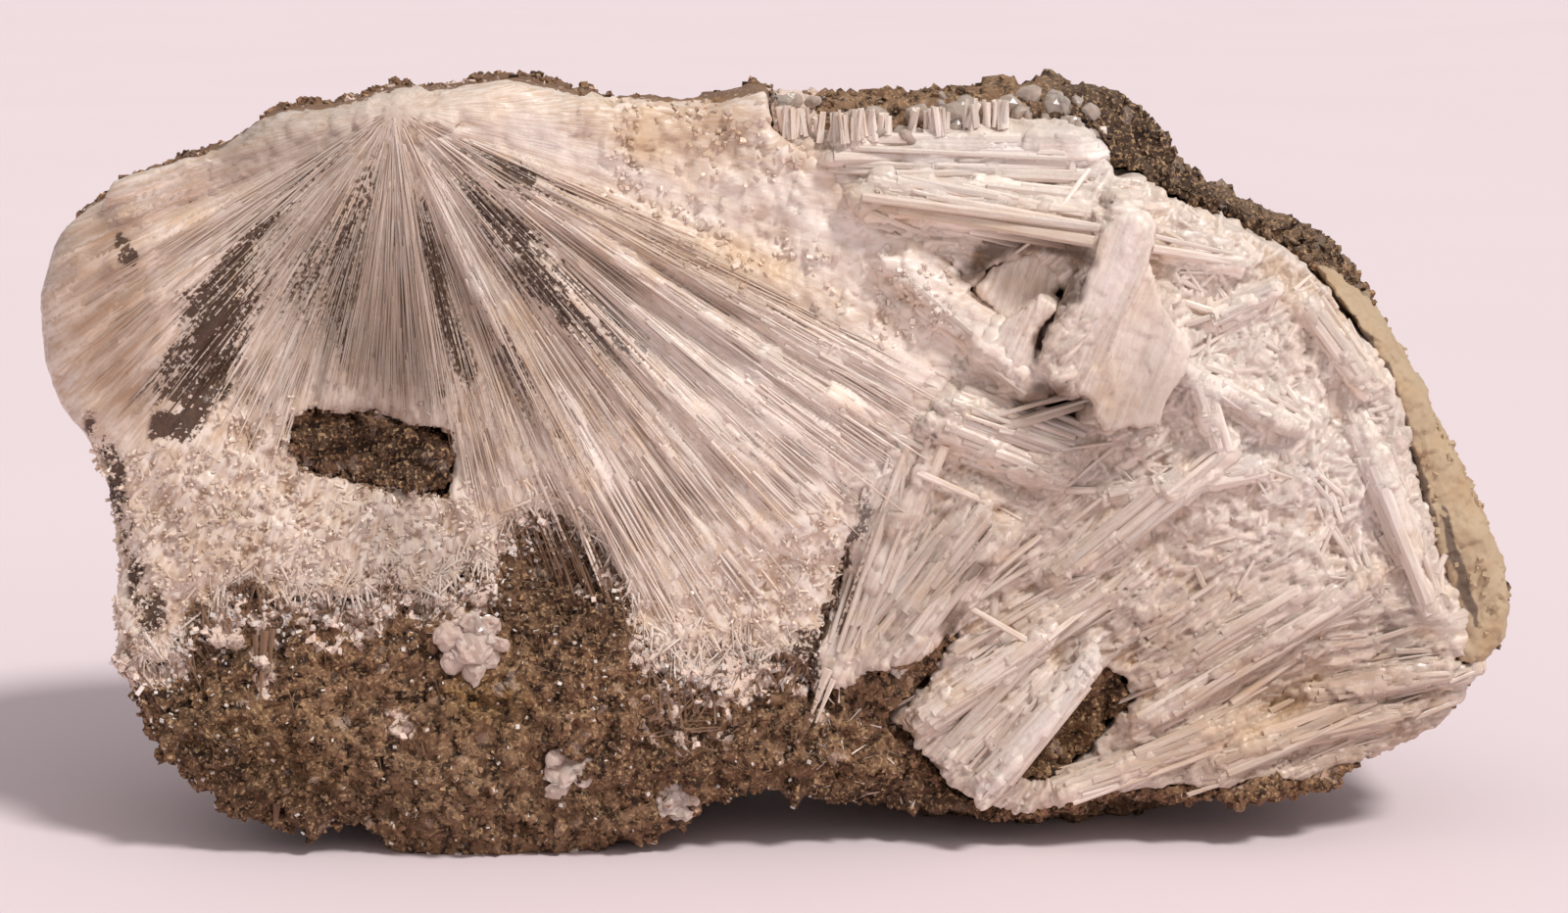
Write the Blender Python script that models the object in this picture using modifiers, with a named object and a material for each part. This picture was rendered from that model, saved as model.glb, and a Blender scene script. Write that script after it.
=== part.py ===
"""A strontianite crystal cluster: a hand specimen of white radiating crystals grown on grey-brown host rock.

Metres, +Z up. The broken crystal face looks along -Y and the specimen stands on its underside at Z = 0.
Sizes in the tables are millimetres, as (x, z) on the crystal face, and MM turns them into metres.
"""

import math

import bmesh
import bpy
from mathutils import Matrix, Vector, noise

MM = 0.001

FACE_Y = -17.0
RIM_Y = -19.5
BACK_Y = 30.0
CENTRE_Z = 40.0
VEIN_BACK_Y = 5.0
FRONT_REACH = -10.0
GAP = 0.3

# the middle of the finished specimen's bounding box, which becomes the origin
MIDDLE = (0.46, 2.97)

VOXEL = 2.0
FINE_VOXEL = 0.6
FRONT_TRIANGLES = 2920
BACK_TRIANGLES = 940

SPRAY_APEX = (-39.0, 78.0)
SPRAY_RIBS = 27
SPRAY_FROM_DEG = -73.0
SPRAY_TO_DEG = 66.0

OUTLINE = (
    (-76.1, 58.7), (-75.9, 52.6), (-74.3, 46.5), (-72.2, 45.2), (-70.4, 41.8), (-68.9, 37.7),
    (-69.4, 33.6), (-68.7, 28.9), (-69.4, 23.7), (-68.6, 19.0), (-66.4, 14.2), (-63.3, 8.9),
    (-59.5, 4.9), (-55.5, 2.8), (-50.7, 2.0), (-46.5, 2.8), (-42.7, 1.3), (-40.7, -0.9),
    (-34.7, -0.7), (-24.4, -1.3), (-17.7, 0.2), (-9.9, 2.6), (-3.7, 5.2), (0.4, 6.0), (6.6, 3.8),
    (14.8, 3.6), (21.0, 3.0), (25.7, 2.6), (31.4, 3.4), (36.5, 4.5), (44.7, 4.7), (56.4, 4.9),
    (59.8, 6.0), (62.2, 8.4), (68.0, 10.4), (69.0, 12.3), (72.0, 13.4), (72.3, 16.1),
    (74.4, 18.4), (76.9, 21.8), (77.2, 26.8), (75.6, 32.0), (73.2, 36.7), (70.1, 42.8),
    (65.9, 50.6), (61.6, 56.9), (58.2, 60.1), (51.8, 63.2), (48.4, 66.5), (43.0, 69.8),
    (40.4, 74.8), (36.8, 78.3), (33.3, 79.6), (27.3, 80.0), (21.3, 80.0), (18.3, 79.3),
    (13.4, 78.5), (8.4, 78.8), (1.4, 79.3), (-2.6, 79.6), (-5.1, 78.2), (-10.6, 78.5),
    (-15.5, 78.4), (-19.5, 78.6), (-23.5, 79.6), (-26.5, 80.6), (-30.5, 80.2), (-35.5, 79.4),
    (-39.5, 79.4), (-42.5, 78.4), (-47.5, 77.6), (-51.5, 77.4), (-53.7, 75.8), (-56.1, 73.8),
    (-59.3, 72.2), (-63.1, 70.6), (-67.4, 68.6), (-71.2, 67.2), (-73.7, 65.4), (-74.8, 62.5),
)

# depth, share of the outline's size there
SECTIONS = (
    (RIM_Y, 0.982),
    (FACE_Y, 0.997),
    (-11.0, 1.0),
    (-3.0, 1.0),
    (7.0, 0.985),
    (16.0, 0.94),
    (24.0, 0.84),
    (BACK_Y, 0.66),
)

# where the left spray ends against the host rock, from the left end to the seam
LEFT_FOOT = (
    (-90.0, 21.5), (-66.4, 21.1), (-63.6, 20.7), (-61.1, 23.7), (-57.3, 26.6), (-54.5, 28.3),
    (-51.7, 26.3), (-48.6, 27.9), (-43.5, 27.2), (-40.4, 28.7), (-35.3, 27.9), (-32.2, 29.9),
    (-29.5, 28.9), (-28.6, 33.6), (-25.5, 36.2), (-21.5, 34.6), (-18.7, 33.1), (-15.9, 29.4),
    (-15.4, 25.2), (-13.4, 22.1), (-8.3, 20.3), (-3.7, 22.1), (0.4, 21.4),
)
# the seam where the two sprays meet, from its foot to the top edge
SEAM = (
    (3.1, 19.1), (5.0, 24.7), (6.7, 29.9), (8.0, 35.1), (8.9, 39.3), (11.0, 42.9),
    (15.1, 47.0), (20.1, 53.4), (22.3, 56.8), (18.1, 61.9), (14.0, 64.3), (9.9, 65.6),
    (7.2, 68.8), (5.4, 71.8), (1.9, 73.8), (-0.6, 74.3),
)
# the right spray's upper edge, under the dark rock along the top
RIGHT_TOP = (
    (3.4, 74.9), (11.9, 75.0), (17.1, 75.7), (25.4, 76.5), (30.7, 76.4), (32.9, 74.6),
    (34.3, 71.4), (36.9, 71.0), (39.0, 69.2), (42.7, 67.5), (47.1, 66.0), (50.6, 63.8),
    (55.5, 61.0),
)
# the inner line of the weathered rind on the right end
RIND_LINE = (
    (59.9, 54.7), (63.0, 50.1), (65.4, 43.4), (67.0, 38.4), (68.4, 33.3), (69.9, 29.1),
    (71.4, 25.0), (71.9, 22.6), (71.2, 19.5),
)
# the right spray's lower edge, from the right end back to the seam
RIGHT_FOOT = (
    (62.5, 9.0), (58.9, 8.4), (55.0, 6.8), (50.9, 7.2), (41.6, 7.0), (32.3, 6.5), (28.8, 4.8),
    (25.7, 3.8), (21.9, 4.5), (17.7, 7.2), (14.3, 11.4), (11.9, 13.7), (14.8, 17.4),
    (17.6, 20.9), (19.3, 25.2), (16.5, 23.2), (14.7, 21.7), (8.5, 19.1), (5.5, 17.4),
    (4.1, 15.7),
)
# windows where the host rock shows through the crystals
DARK_WINDOW = (
    (-50.0, 46.7), (-46.9, 45.8), (-44.5, 45.6), (-41.4, 47.0), (-38.9, 45.2), (-34.7, 43.5),
    (-34.0, 40.6), (-34.7, 38.0), (-40.2, 38.5), (-44.7, 38.9), (-47.5, 40.9), (-50.4, 42.4),
)
WEDGE_WINDOW = (
    (24.5, 8.1), (25.2, 11.4), (29.4, 15.2), (31.5, 18.1), (33.5, 19.9), (36.0, 19.1),
    (37.5, 15.9), (33.6, 11.4), (32.2, 8.9), (27.9, 7.2),
)

# swells and hollows of the broken face: centre x, z, reach in x, z, and how far it recedes
FACE_FORMS = (
    (-38.0, 13.0, 30.0, 13.0, -4.5),
    (-8.0, 13.0, 14.0, 9.0, -1.5),
    (-38.0, 56.0, 22.0, 16.0, 2.0),
    (-42.0, 42.4, 7.5, 3.6, 2.6),
    (-22.5, 29.0, 6.5, 6.0, 3.5),
    (-55.0, 49.0, 4.0, 9.0, 1.6),
    (-18.0, 60.0, 4.5, 7.0, 1.4),
    (-66.0, 55.0, 10.0, 14.0, -1.5),
    (-5.0, 68.0, 15.0, 9.0, 1.8),
    (4.0, 45.0, 14.0, 12.0, -2.0),
    (7.5, 28.0, 2.6, 13.0, 2.2),
    (37.0, 56.0, 11.0, 12.0, -3.5),
    (31.0, 13.5, 5.0, 6.5, 3.2),
    (10.0, 14.5, 7.0, 5.0, 2.2),
    (58.0, 14.0, 15.0, 9.0, 4.0),
    (72.0, 35.0, 12.0, 26.0, 5.0),
    (55.0, 58.0, 10.0, 8.0, 2.0),
    (-50.0, 24.0, 9.0, 5.0, 1.2),
    (6.0, 4.0, 16.0, 3.5, 3.0),
)
TOP_LEDGE_BACK = 5.0
# how far the host rock's top lies below the crystals' upper edge
TOP_FALL = 2.8

# hollows cut into the right spray: x, z, half width, half depth, half height, turn
HOLLOWS = (
    (23.8, 58.6, 6.3, 10.0, 3.9, 20.0),
    (27.0, 49.0, 4.6, 8.5, 4.0, -30.0),
    (18.4, 25.8, 0.9, 5.0, 1.9, -35.0),
    (21.1, 31.0, 0.9, 4.0, 1.1, 0.0),
)

# blades of the right spray: name, from, to, width, thickness, how far its face stands out, roll
BLADES = (
    ("top_blade", (5.4, 73.8), (34.1, 73.6), 4.5, 5.0, 1.9, 4.0),
    ("second_blade", (8.4, 69.6), (32.1, 66.3), 5.9, 6.0, 3.2, -8.0),
    ("right_shoulder", (34.5, 65.4), (48.1, 61.9), 2.8, 4.0, 2.3, 12.0),
    ("vug_keeper", (35.2, 68.6), (28.0, 51.0), 5.1, 6.0, 5.3, -14.0),
    ("vug_slab", (37.6, 60.5), (34.0, 44.9), 8.9, 7.0, 3.5, 16.0),
    ("vug_left", (11.0, 63.0), (27.9, 49.1), 5.3, 6.0, 2.9, 14.0),
    ("vug_small", (20.9, 54.1), (29.2, 62.7), 4.3, 5.0, -3.6, -10.0),
    ("vug_floor", (20.6, 46.5), (32.7, 51.0), 4.1, 4.0, -5.1, 0.0),
    ("striated", (16.6, 47.0), (30.5, 41.7), 8.3, 4.0, 1.9, 5.0),
    ("seam_blade", (5.6, 17.6), (15.8, 44.4), 3.7, 4.0, 1.7, -10.0),
    ("seam_plate", (9.4, 19.9), (22.4, 37.4), 8.4, 4.0, 2.2, 7.0),
    ("white_rib", (20.8, 5.9), (32.9, 22.2), 2.6, 4.0, 4.1, 0.0),
    ("rib_left", (13.6, 13.4), (28.4, 23.9), 3.2, 4.0, 3.0, -12.0),
    ("rib_fill", (17.9, 8.4), (28.0, 20.3), 5.4, 4.0, 1.7, 4.0),
    ("band", (19.6, 19.2), (33.6, 29.0), 4.4, 4.0, 1.1, 10.0),
    ("low_a", (28.7, 6.4), (47.4, 13.4), 3.2, 4.0, 2.0, -12.0),
    ("low_b", (37.0, 14.0), (62.2, 29.0), 2.8, 4.0, 2.2, 8.0),
    ("low_c", (38.6, 18.2), (55.4, 28.6), 2.4, 3.5, 1.7, -8.0),
    ("low_d", (45.0, 9.2), (63.0, 15.9), 3.6, 4.0, 1.4, 12.0),
    ("mid_a", (27.9, 28.9), (41.6, 40.9), 3.2, 3.5, 1.5, -9.0),
    ("mid_b", (32.0, 31.5), (46.8, 44.0), 2.5, 3.5, 2.0, 10.0),
    ("mid_c", (32.9, 38.2), (50.1, 41.3), 2.2, 3.0, 1.4, 0.0),
    ("high_a", (42.3, 50.8), (45.2, 43.0), 1.8, 3.0, 2.3, 10.0),
    ("high_b", (38.7, 52.6), (53.6, 45.1), 1.9, 3.0, 1.9, -10.0),
    ("high_c", (43.7, 56.7), (51.3, 59.9), 2.0, 3.0, 1.9, 0.0),
    ("high_d", (53.7, 58.4), (61.1, 48.5), 2.4, 3.0, 1.5, 8.0),
    ("edge_a", (59.4, 46.8), (68.4, 25.0), 2.6, 3.5, 1.4, -8.0),
    ("ledge_a", (51.8, 11.4), (67.9, 14.2), 2.4, 4.0, 1.7, 6.0),
    ("ledge_b", (54.8, 16.0), (70.4, 19.0), 2.6, 4.0, 1.7, -6.0),
)

# crystal tufts on the host rock: name, x, z, radius of its plates, number of plates
TUFTS = (
    ("rosette_low", -10.9, 5.9, 1.7, 6),
    ("rosette_mid", -22.4, 9.6, 1.9, 4),
    ("rosette_high", -31.6, 23.2, 2.3, 5),
)


def smooth_step(low, high, value):
    """0 at low, 1 at high, and smooth between them."""
    t = min(1.0, max(0.0, (value - low) / (high - low)))
    return t * t * (3.0 - 2.0 * t)


def interpolate(line, x):
    """Height of a left-to-right line of (x, z) points at x, level past its ends."""
    if x <= line[0][0]:
        return line[0][1]
    for (x0, z0), (x1, z1) in zip(line, line[1:]):
        if x0 <= x <= x1 and x1 > x0:
            return z0 + (z1 - z0) * (x - x0) / (x1 - x0)
    return line[-1][1]


def face_recess(x, z):
    """How far, in millimetres, the broken face lies behind its rim at (x, z)."""
    recess = 0.0
    for cx, cz, rx, rz, depth in FACE_FORMS:
        reach = ((x - cx) / rx) ** 2 + ((z - cz) / rz) ** 2
        recess += depth * math.exp(-reach)
    recess += 1.1 * noise.noise(Vector((x * 0.09, 3.7, z * 0.09)))
    recess += 0.5 * noise.noise(Vector((x * 0.25, 8.1, z * 0.25)))
    rock = smooth_step(0.0, 3.0, interpolate(LEFT_FOOT, x) - z) * smooth_step(20.0, 10.0, x)
    recess += 1.5 * rock * noise.noise(Vector((x * 0.2, 1.3, z * 0.2)))
    if x > RIGHT_TOP[0][0] - 4.0:
        above = z - interpolate(RIGHT_TOP, x)
        recess += TOP_LEDGE_BACK * smooth_step(-0.6, 1.2, above)
    return recess


def face_depth(x, z):
    """Depth of the broken face at (x, z), in millimetres."""
    return RIM_Y + face_recess(x, z)


def offset_outline(points, distance):
    """A closed outline grown by distance, or shrunk by a negative one, with mitred corners."""
    count = len(points)
    area = sum(
        points[i][0] * points[(i + 1) % count][1] - points[(i + 1) % count][0] * points[i][1]
        for i in range(count)
    )
    turn = 1.0 if area > 0 else -1.0
    grown = []
    for i in range(count):
        here = Vector(points[i])
        before = (here - Vector(points[i - 1])).normalized()
        after = (Vector(points[(i + 1) % count]) - here).normalized()
        normal_before = Vector((before.y, -before.x)) * turn
        normal_after = Vector((after.y, -after.x)) * turn
        middle = (normal_before + normal_after).normalized()
        mitre = max(0.5, middle.dot(normal_after))
        grown.append(tuple(here + middle * (distance / mitre)))
    return grown


def link(name, mesh, collection):
    """A named object for a mesh, in a collection."""
    made = bpy.data.objects.new(name, mesh)
    collection.objects.link(made)
    return made


def settle(obj):
    """Turns an object's modifiers into its mesh."""
    graph = bpy.context.evaluated_depsgraph_get()
    mesh = bpy.data.meshes.new_from_object(obj.evaluated_get(graph))
    obj.modifiers.clear()
    obj.data = mesh


def keep_largest(obj):
    """Deletes all but the largest of an object's separate bodies."""
    mesh = bmesh.new()
    mesh.from_mesh(obj.data)
    left = set(mesh.faces)
    bodies = []
    while left:
        stack = [left.pop()]
        body = []
        while stack:
            face = stack.pop()
            body.append(face)
            for edge in face.edges:
                for other in edge.link_faces:
                    if other in left:
                        left.remove(other)
                        stack.append(other)
        bodies.append(body)
    bodies.sort(key=lambda faces: sum(f.calc_area() for f in faces))
    for body in bodies[:-1]:
        bmesh.ops.delete(mesh, geom=body, context="FACES")
    mesh.to_mesh(obj.data)
    mesh.free()


def boolean(obj, cutter, operation, solver="EXACT"):
    """Joins, cuts or crosses obj with a cutter object or a collection of them."""
    modifier = obj.modifiers.new(operation.lower(), "BOOLEAN")
    modifier.operation = operation
    modifier.solver = solver
    if isinstance(cutter, bpy.types.Collection):
        modifier.operand_type = "COLLECTION"
        modifier.collection = cutter
    else:
        modifier.object = cutter
    settle(obj)


def paint(obj, name, colour, roughness):
    """Gives an object its own finish."""
    finish = bpy.data.materials.new(name)
    finish.use_nodes = True
    shader = finish.node_tree.nodes["Principled BSDF"]
    shader.inputs["Base Color"].default_value = (*colour, 1.0)
    shader.inputs["Roughness"].default_value = roughness
    shader.inputs["Metallic"].default_value = 0.0
    obj.data.materials.clear()
    obj.data.materials.append(finish)


def body_loft(collection):
    """The whole specimen's rough form, lofted through sections of its outline."""
    mesh = bmesh.new()
    rings = []
    for depth, share in SECTIONS:
        ring = []
        for x, z in OUTLINE:
            shift = 2.2 * smooth_step(-14.0, 2.0, depth)
            lump = noise.noise(Vector((x * 0.045, depth * 0.06, z * 0.045))) * shift
            size = share + lump / 40.0
            px = x * size
            pz = CENTRE_Z + (z - CENTRE_Z) * size
            # the underside reaches down to a second foot, behind the face's lower edge
            foot = smooth_step(-9.0, 0.0, depth) * (1.0 - smooth_step(14.0, 24.0, depth))
            low = 1.0 - smooth_step(4.0, 12.0, z)
            right = smooth_step(8.0, 18.0, x) * (1.0 - smooth_step(40.0, 50.0, x))
            pz -= 8.0 * foot * low * right
            # the top falls away behind the crystals' upper edge
            behind = smooth_step(-12.0, 6.0, depth) * smooth_step(48.0, 68.0, z)
            crest = smooth_step(-34.0, -24.0, x) * (1.0 - smooth_step(36.0, 50.0, x))
            pz -= TOP_FALL * behind * crest
            ring.append(mesh.verts.new((px * MM, depth * MM, pz * MM)))
        edges = [mesh.edges.new((ring[i - 1], ring[i])) for i in range(len(ring))]
        rings.append(edges)
    for first, second in zip(rings, rings[1:]):
        bmesh.ops.bridge_loops(mesh, edges=first + second)
    for end in (rings[0], rings[-1]):
        bmesh.ops.contextual_create(mesh, geom=end)
    bmesh.ops.triangulate(mesh, faces=mesh.faces)
    bmesh.ops.recalc_face_normals(mesh, faces=mesh.faces)
    data = bpy.data.meshes.new("specimen")
    mesh.to_mesh(data)
    mesh.free()
    return link("specimen", data, collection)


def shape_body(body):
    """Gives the rough form its even mesh, the relief of its face and the lumps of its back."""
    remesh = body.modifiers.new("remesh", "REMESH")
    remesh.mode = "VOXEL"
    remesh.voxel_size = VOXEL * MM
    settle(body)
    for vertex in body.data.vertices:
        x, y, z = (value / MM for value in vertex.co)
        front = max(0.0, -y / -RIM_Y)
        recess = face_recess(x, z)
        rough = smooth_step(-15.0, -6.0, y) * (1.0 - 0.6 * smooth_step(58.0, 68.0, x))
        spot = Vector((x, y, z))
        lump = 1.5 * noise.fractal(spot * 0.085, 1.0, 2.0, 3)
        chip = 0.9 * noise.noise(spot * 0.3)
        ledge = 3.4 * (noise.voronoi(spot * 0.075)[0][0] - 0.35) * smooth_step(-8.0, 6.0, y)
        outward = vertex.normal * ((lump + ledge) * rough + chip * (0.35 + 0.65 * rough))
        vertex.co = (spot + Vector((0.0, front * recess, 0.0)) + outward) * MM


def coarsen(obj, chosen, triangles):
    """Melts the chosen vertices' small facets together into about this many flat ones."""
    group = obj.vertex_groups.new(name="chosen")
    picked = [v.index for v in obj.data.vertices if chosen(v)]
    group.add(picked, 1.0, "REPLACE")
    inside = set(picked)
    corners = [(p.loop_total - 2, set(p.vertices)) for p in obj.data.polygons]
    total = sum(count for count, _ in corners)
    kept = sum(count for count, vertices in corners if not vertices <= inside)
    modifier = obj.modifiers.new("decimate", "DECIMATE")
    modifier.vertex_group = group.name
    modifier.ratio = (kept + triangles) / total
    settle(obj)
    obj.vertex_groups.clear()


def facet_body(body):
    """Grows the joined crystals and the rough form into one closed skin of flat facets."""
    body.data.transform(Matrix.Scale(1.0 / MM, 4))
    remesh = body.modifiers.new("remesh", "REMESH")
    remesh.mode = "VOXEL"
    remesh.voxel_size = FINE_VOXEL
    settle(body)
    keep_largest(body)
    coarsen(body, lambda v: v.co.y > FRONT_REACH, BACK_TRIANGLES)
    coarsen(body, lambda v: v.co.y <= FRONT_REACH, FRONT_TRIANGLES)
    body.data.transform(Matrix.Scale(MM, 4))
    mesh = bmesh.new()
    mesh.from_mesh(body.data)
    back = [v for v in mesh.verts if v.co.y > (FRONT_REACH + 3.0) * MM]
    bmesh.ops.smooth_vert(
        mesh, verts=back, factor=0.3, use_axis_x=True, use_axis_y=True, use_axis_z=True,
    )
    mesh.to_mesh(body.data)
    mesh.free()


def flatten_base(body, collection):
    """Cuts the underside off level at Z = 0, so that the specimen rests on two flat feet."""
    mesh = bmesh.new()
    bmesh.ops.create_cube(mesh, size=0.3)
    bmesh.ops.translate(mesh, verts=mesh.verts, vec=(0.0, 0.0, -0.15))
    data = bpy.data.meshes.new("ground_cut")
    mesh.to_mesh(data)
    mesh.free()
    boolean(body, link("ground_cut", data, collection), "DIFFERENCE")


def hollow(index, form, collection):
    """A faceted hollow that a cavity is cut with."""
    x, z, half_width, half_depth, half_height, turn = form
    mesh = bmesh.new()
    bmesh.ops.create_icosphere(mesh, subdivisions=2, radius=MM)
    for vertex in mesh.verts:
        vertex.co *= 1.0 + 0.16 * noise.noise(vertex.co / MM * 1.3 + Vector((index, 0.0, 0.0)))
    bmesh.ops.scale(mesh, vec=(half_width, half_depth, half_height), verts=mesh.verts)
    data = bpy.data.meshes.new("hollow")
    mesh.to_mesh(data)
    mesh.free()
    made = link(f"hollow_{index}", data, collection)
    made.location = (x * MM, (face_depth(x, z) + 0.1 * half_depth) * MM, z * MM)
    made.rotation_euler = (0.0, math.radians(-turn), 0.0)
    return made


def crystal(name, start, end, width, thickness, stands_out, roll, tip, collection):
    """A six-sided flattened prism on the face from start, narrowed to a share tip, to end."""
    mesh = bmesh.new()
    bmesh.ops.create_cone(
        mesh, cap_ends=True, segments=6, radius1=1.0, radius2=1.0, depth=1.0,
        matrix=Matrix.Rotation(math.radians(30.0), 4, "Z"),
    )
    for vertex in mesh.verts:
        if vertex.co.z < 0.0:
            vertex.co.x *= tip
            vertex.co.y *= tip
            vertex.co.z += 0.05 * math.copysign(1.0, vertex.co.x)
        else:
            vertex.co.z += 0.04 * math.copysign(1.0, vertex.co.x + 0.3 * vertex.co.y)
    a = Vector((start[0], face_depth(*start) - stands_out + thickness / 2, start[1]))
    b = Vector((end[0], face_depth(*end) - stands_out + thickness / 2, end[1]))
    along = (b - a).normalized()
    across = along.cross(Vector((0.0, 1.0, 0.0))).normalized()
    inward = across.cross(along)
    across, inward = (
        across * math.cos(math.radians(roll)) + inward * math.sin(math.radians(roll)),
        inward * math.cos(math.radians(roll)) - across * math.sin(math.radians(roll)),
    )
    turn = Matrix((across, inward, along)).transposed().to_4x4()
    size = Matrix.Diagonal((width / 2, thickness / 2, (b - a).length, 1.0))
    place = Matrix.Translation((a + b) / 2) @ turn @ size
    bmesh.ops.transform(mesh, matrix=Matrix.Scale(MM, 4) @ place, verts=mesh.verts)
    bmesh.ops.recalc_face_normals(mesh, faces=mesh.faces)
    data = bpy.data.meshes.new(name)
    mesh.to_mesh(data)
    mesh.free()
    return link(name, data, collection)


def spray_ribs(collection):
    """The left spray's long ribs, which fan out from its apex at the top edge."""
    apex = Vector(SPRAY_APEX)
    for i in range(SPRAY_RIBS):
        share = i / (SPRAY_RIBS - 1)
        jitter = noise.noise(Vector((i * 3.1, 0.5, 0.0)))
        angle = SPRAY_FROM_DEG + (SPRAY_TO_DEG - SPRAY_FROM_DEG) * share + 2.0 * jitter
        way = Vector((math.sin(math.radians(angle)), -math.cos(math.radians(angle))))
        reach = 31.0 + 22.0 * smooth_step(0.45, 0.95, share) + 4.0 * jitter
        begin = 7.0 + 9.0 * (i % 3) / 2
        start = apex + way * begin
        end = apex + way * reach
        width = 2.3 + 1.1 * noise.noise(Vector((i * 5.7, 2.5, 1.0)))
        stands_out = 1.15 + 0.6 * jitter
        crystal(
            f"rib_{i}", start, end, width, 3.4, stands_out, 30.0 * jitter, 0.35, collection
        )


def prism(name, outline, windows, low_y, high_y, collection):
    """A closed prism through the specimen: an outline with windows in it, low_y to high_y deep."""
    curve = bpy.data.curves.new(name, "CURVE")
    curve.dimensions = "2D"
    curve.fill_mode = "BOTH"
    curve.extrude = (high_y - low_y) / 2 * MM
    for ring in (outline, *windows):
        spline = curve.splines.new("POLY")
        spline.points.add(len(ring) - 1)
        for point, (x, z) in zip(spline.points, ring):
            point.co = (x * MM, z * MM, 0.0, 1.0)
        spline.use_cyclic_u = True
    flat = link(name + "_outline", curve, collection)
    flat.rotation_euler = (math.radians(90.0), 0.0, 0.0)
    flat.location = (0.0, (low_y + high_y) / 2 * MM, 0.0)
    bpy.context.view_layer.update()
    graph = bpy.context.evaluated_depsgraph_get()
    data = bpy.data.meshes.new_from_object(flat.evaluated_get(graph))
    data.transform(flat.matrix_world)
    bpy.data.objects.remove(flat)
    mesh = bmesh.new()
    mesh.from_mesh(data)
    bmesh.ops.remove_doubles(mesh, verts=mesh.verts, dist=0.00001)
    bmesh.ops.recalc_face_normals(mesh, faces=mesh.faces)
    mesh.to_mesh(data)
    mesh.free()
    return link(name, data, collection)


def cut_pieces(body, parts, cutters):
    """Parts the specimen into the sprays, the rind and the host rock, with a hair's gap between."""
    left = (*LEFT_FOOT, *SEAM, (-1.6, 95.0), (-90.0, 95.0))
    right = (
        *SEAM, *RIGHT_TOP, *RIND_LINE, (90.0, 15.0), (90.0, -5.0), (63.0, -5.0), *RIGHT_FOOT,
    )
    rind = (*RIND_LINE, (90.0, 14.0), (90.0, 62.0), (55.8, 62.0), (55.5, 61.0))
    pieces = (
        ("left_spray", left, (DARK_WINDOW,), VEIN_BACK_Y),
        ("right_spray", right, (WEDGE_WINDOW,), VEIN_BACK_Y - 2.0),
        ("weathered_rind", rind, (), 17.0),
    )
    rock = link("host_rock", body.data.copy(), parts)
    for name, outline, windows, back in pieces:
        inside = prism(
            name + "_form", offset_outline(outline, -GAP / 2),
            [offset_outline(w, GAP / 2) for w in windows], -60.0, back - GAP / 2, cutters,
        )
        outside = prism(
            name + "_bed", offset_outline(outline, GAP / 2),
            [offset_outline(w, -GAP / 2) for w in windows], -60.5, back + GAP / 2, cutters,
        )
        piece = link(name, body.data.copy(), parts)
        boolean(piece, inside, "INTERSECT", "MANIFOLD")
        keep_largest(piece)
        boolean(rock, outside, "DIFFERENCE", "MANIFOLD")
    keep_largest(rock)
    return rock


def tuft(name, x, z, radius, plates, grow, collection):
    """A small tuft of flat rounded crystals, overlapping like petals."""
    base = face_depth(x, z)
    made = None
    for i in range(plates):
        mesh = bmesh.new()
        bmesh.ops.create_icosphere(mesh, subdivisions=1, radius=1.0)
        angle = 2.0 * math.pi * i / (plates - 1)
        away = 0.0 if i == 0 else radius * 0.85
        size = radius * (1.0 if i == 0 else 0.78) + grow
        spread = Matrix.Diagonal((size, size * 0.72, size, 1.0))
        lean = Matrix.Rotation(0.35 * math.sin(angle), 4, "X")
        spot = Vector((x + away * math.cos(angle), base, z + away * math.sin(angle)))
        place = Matrix.Translation(spot) @ lean @ spread
        bmesh.ops.transform(mesh, matrix=Matrix.Scale(MM, 4) @ place, verts=mesh.verts)
        data = bpy.data.meshes.new(name)
        mesh.to_mesh(data)
        mesh.free()
        plate = link(f"{name}_{i}", data, collection)
        if made is None:
            made = plate
        else:
            boolean(made, plate, "UNION")
            bpy.data.objects.remove(plate)
    made.name = name
    return made


def seat_tufts(body, parts, cutters):
    """The tufts on the host rock, each in a bed cut for it."""
    finished = []
    for name, x, z, radius, plates in TUFTS:
        bed = tuft(name + "_bed", x, z, radius, plates, GAP, cutters)
        boolean(body, bed, "DIFFERENCE")
        finished.append(tuft(name, x, z, radius, plates, 0.0, parts))
    keep_largest(body)
    return finished


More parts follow.
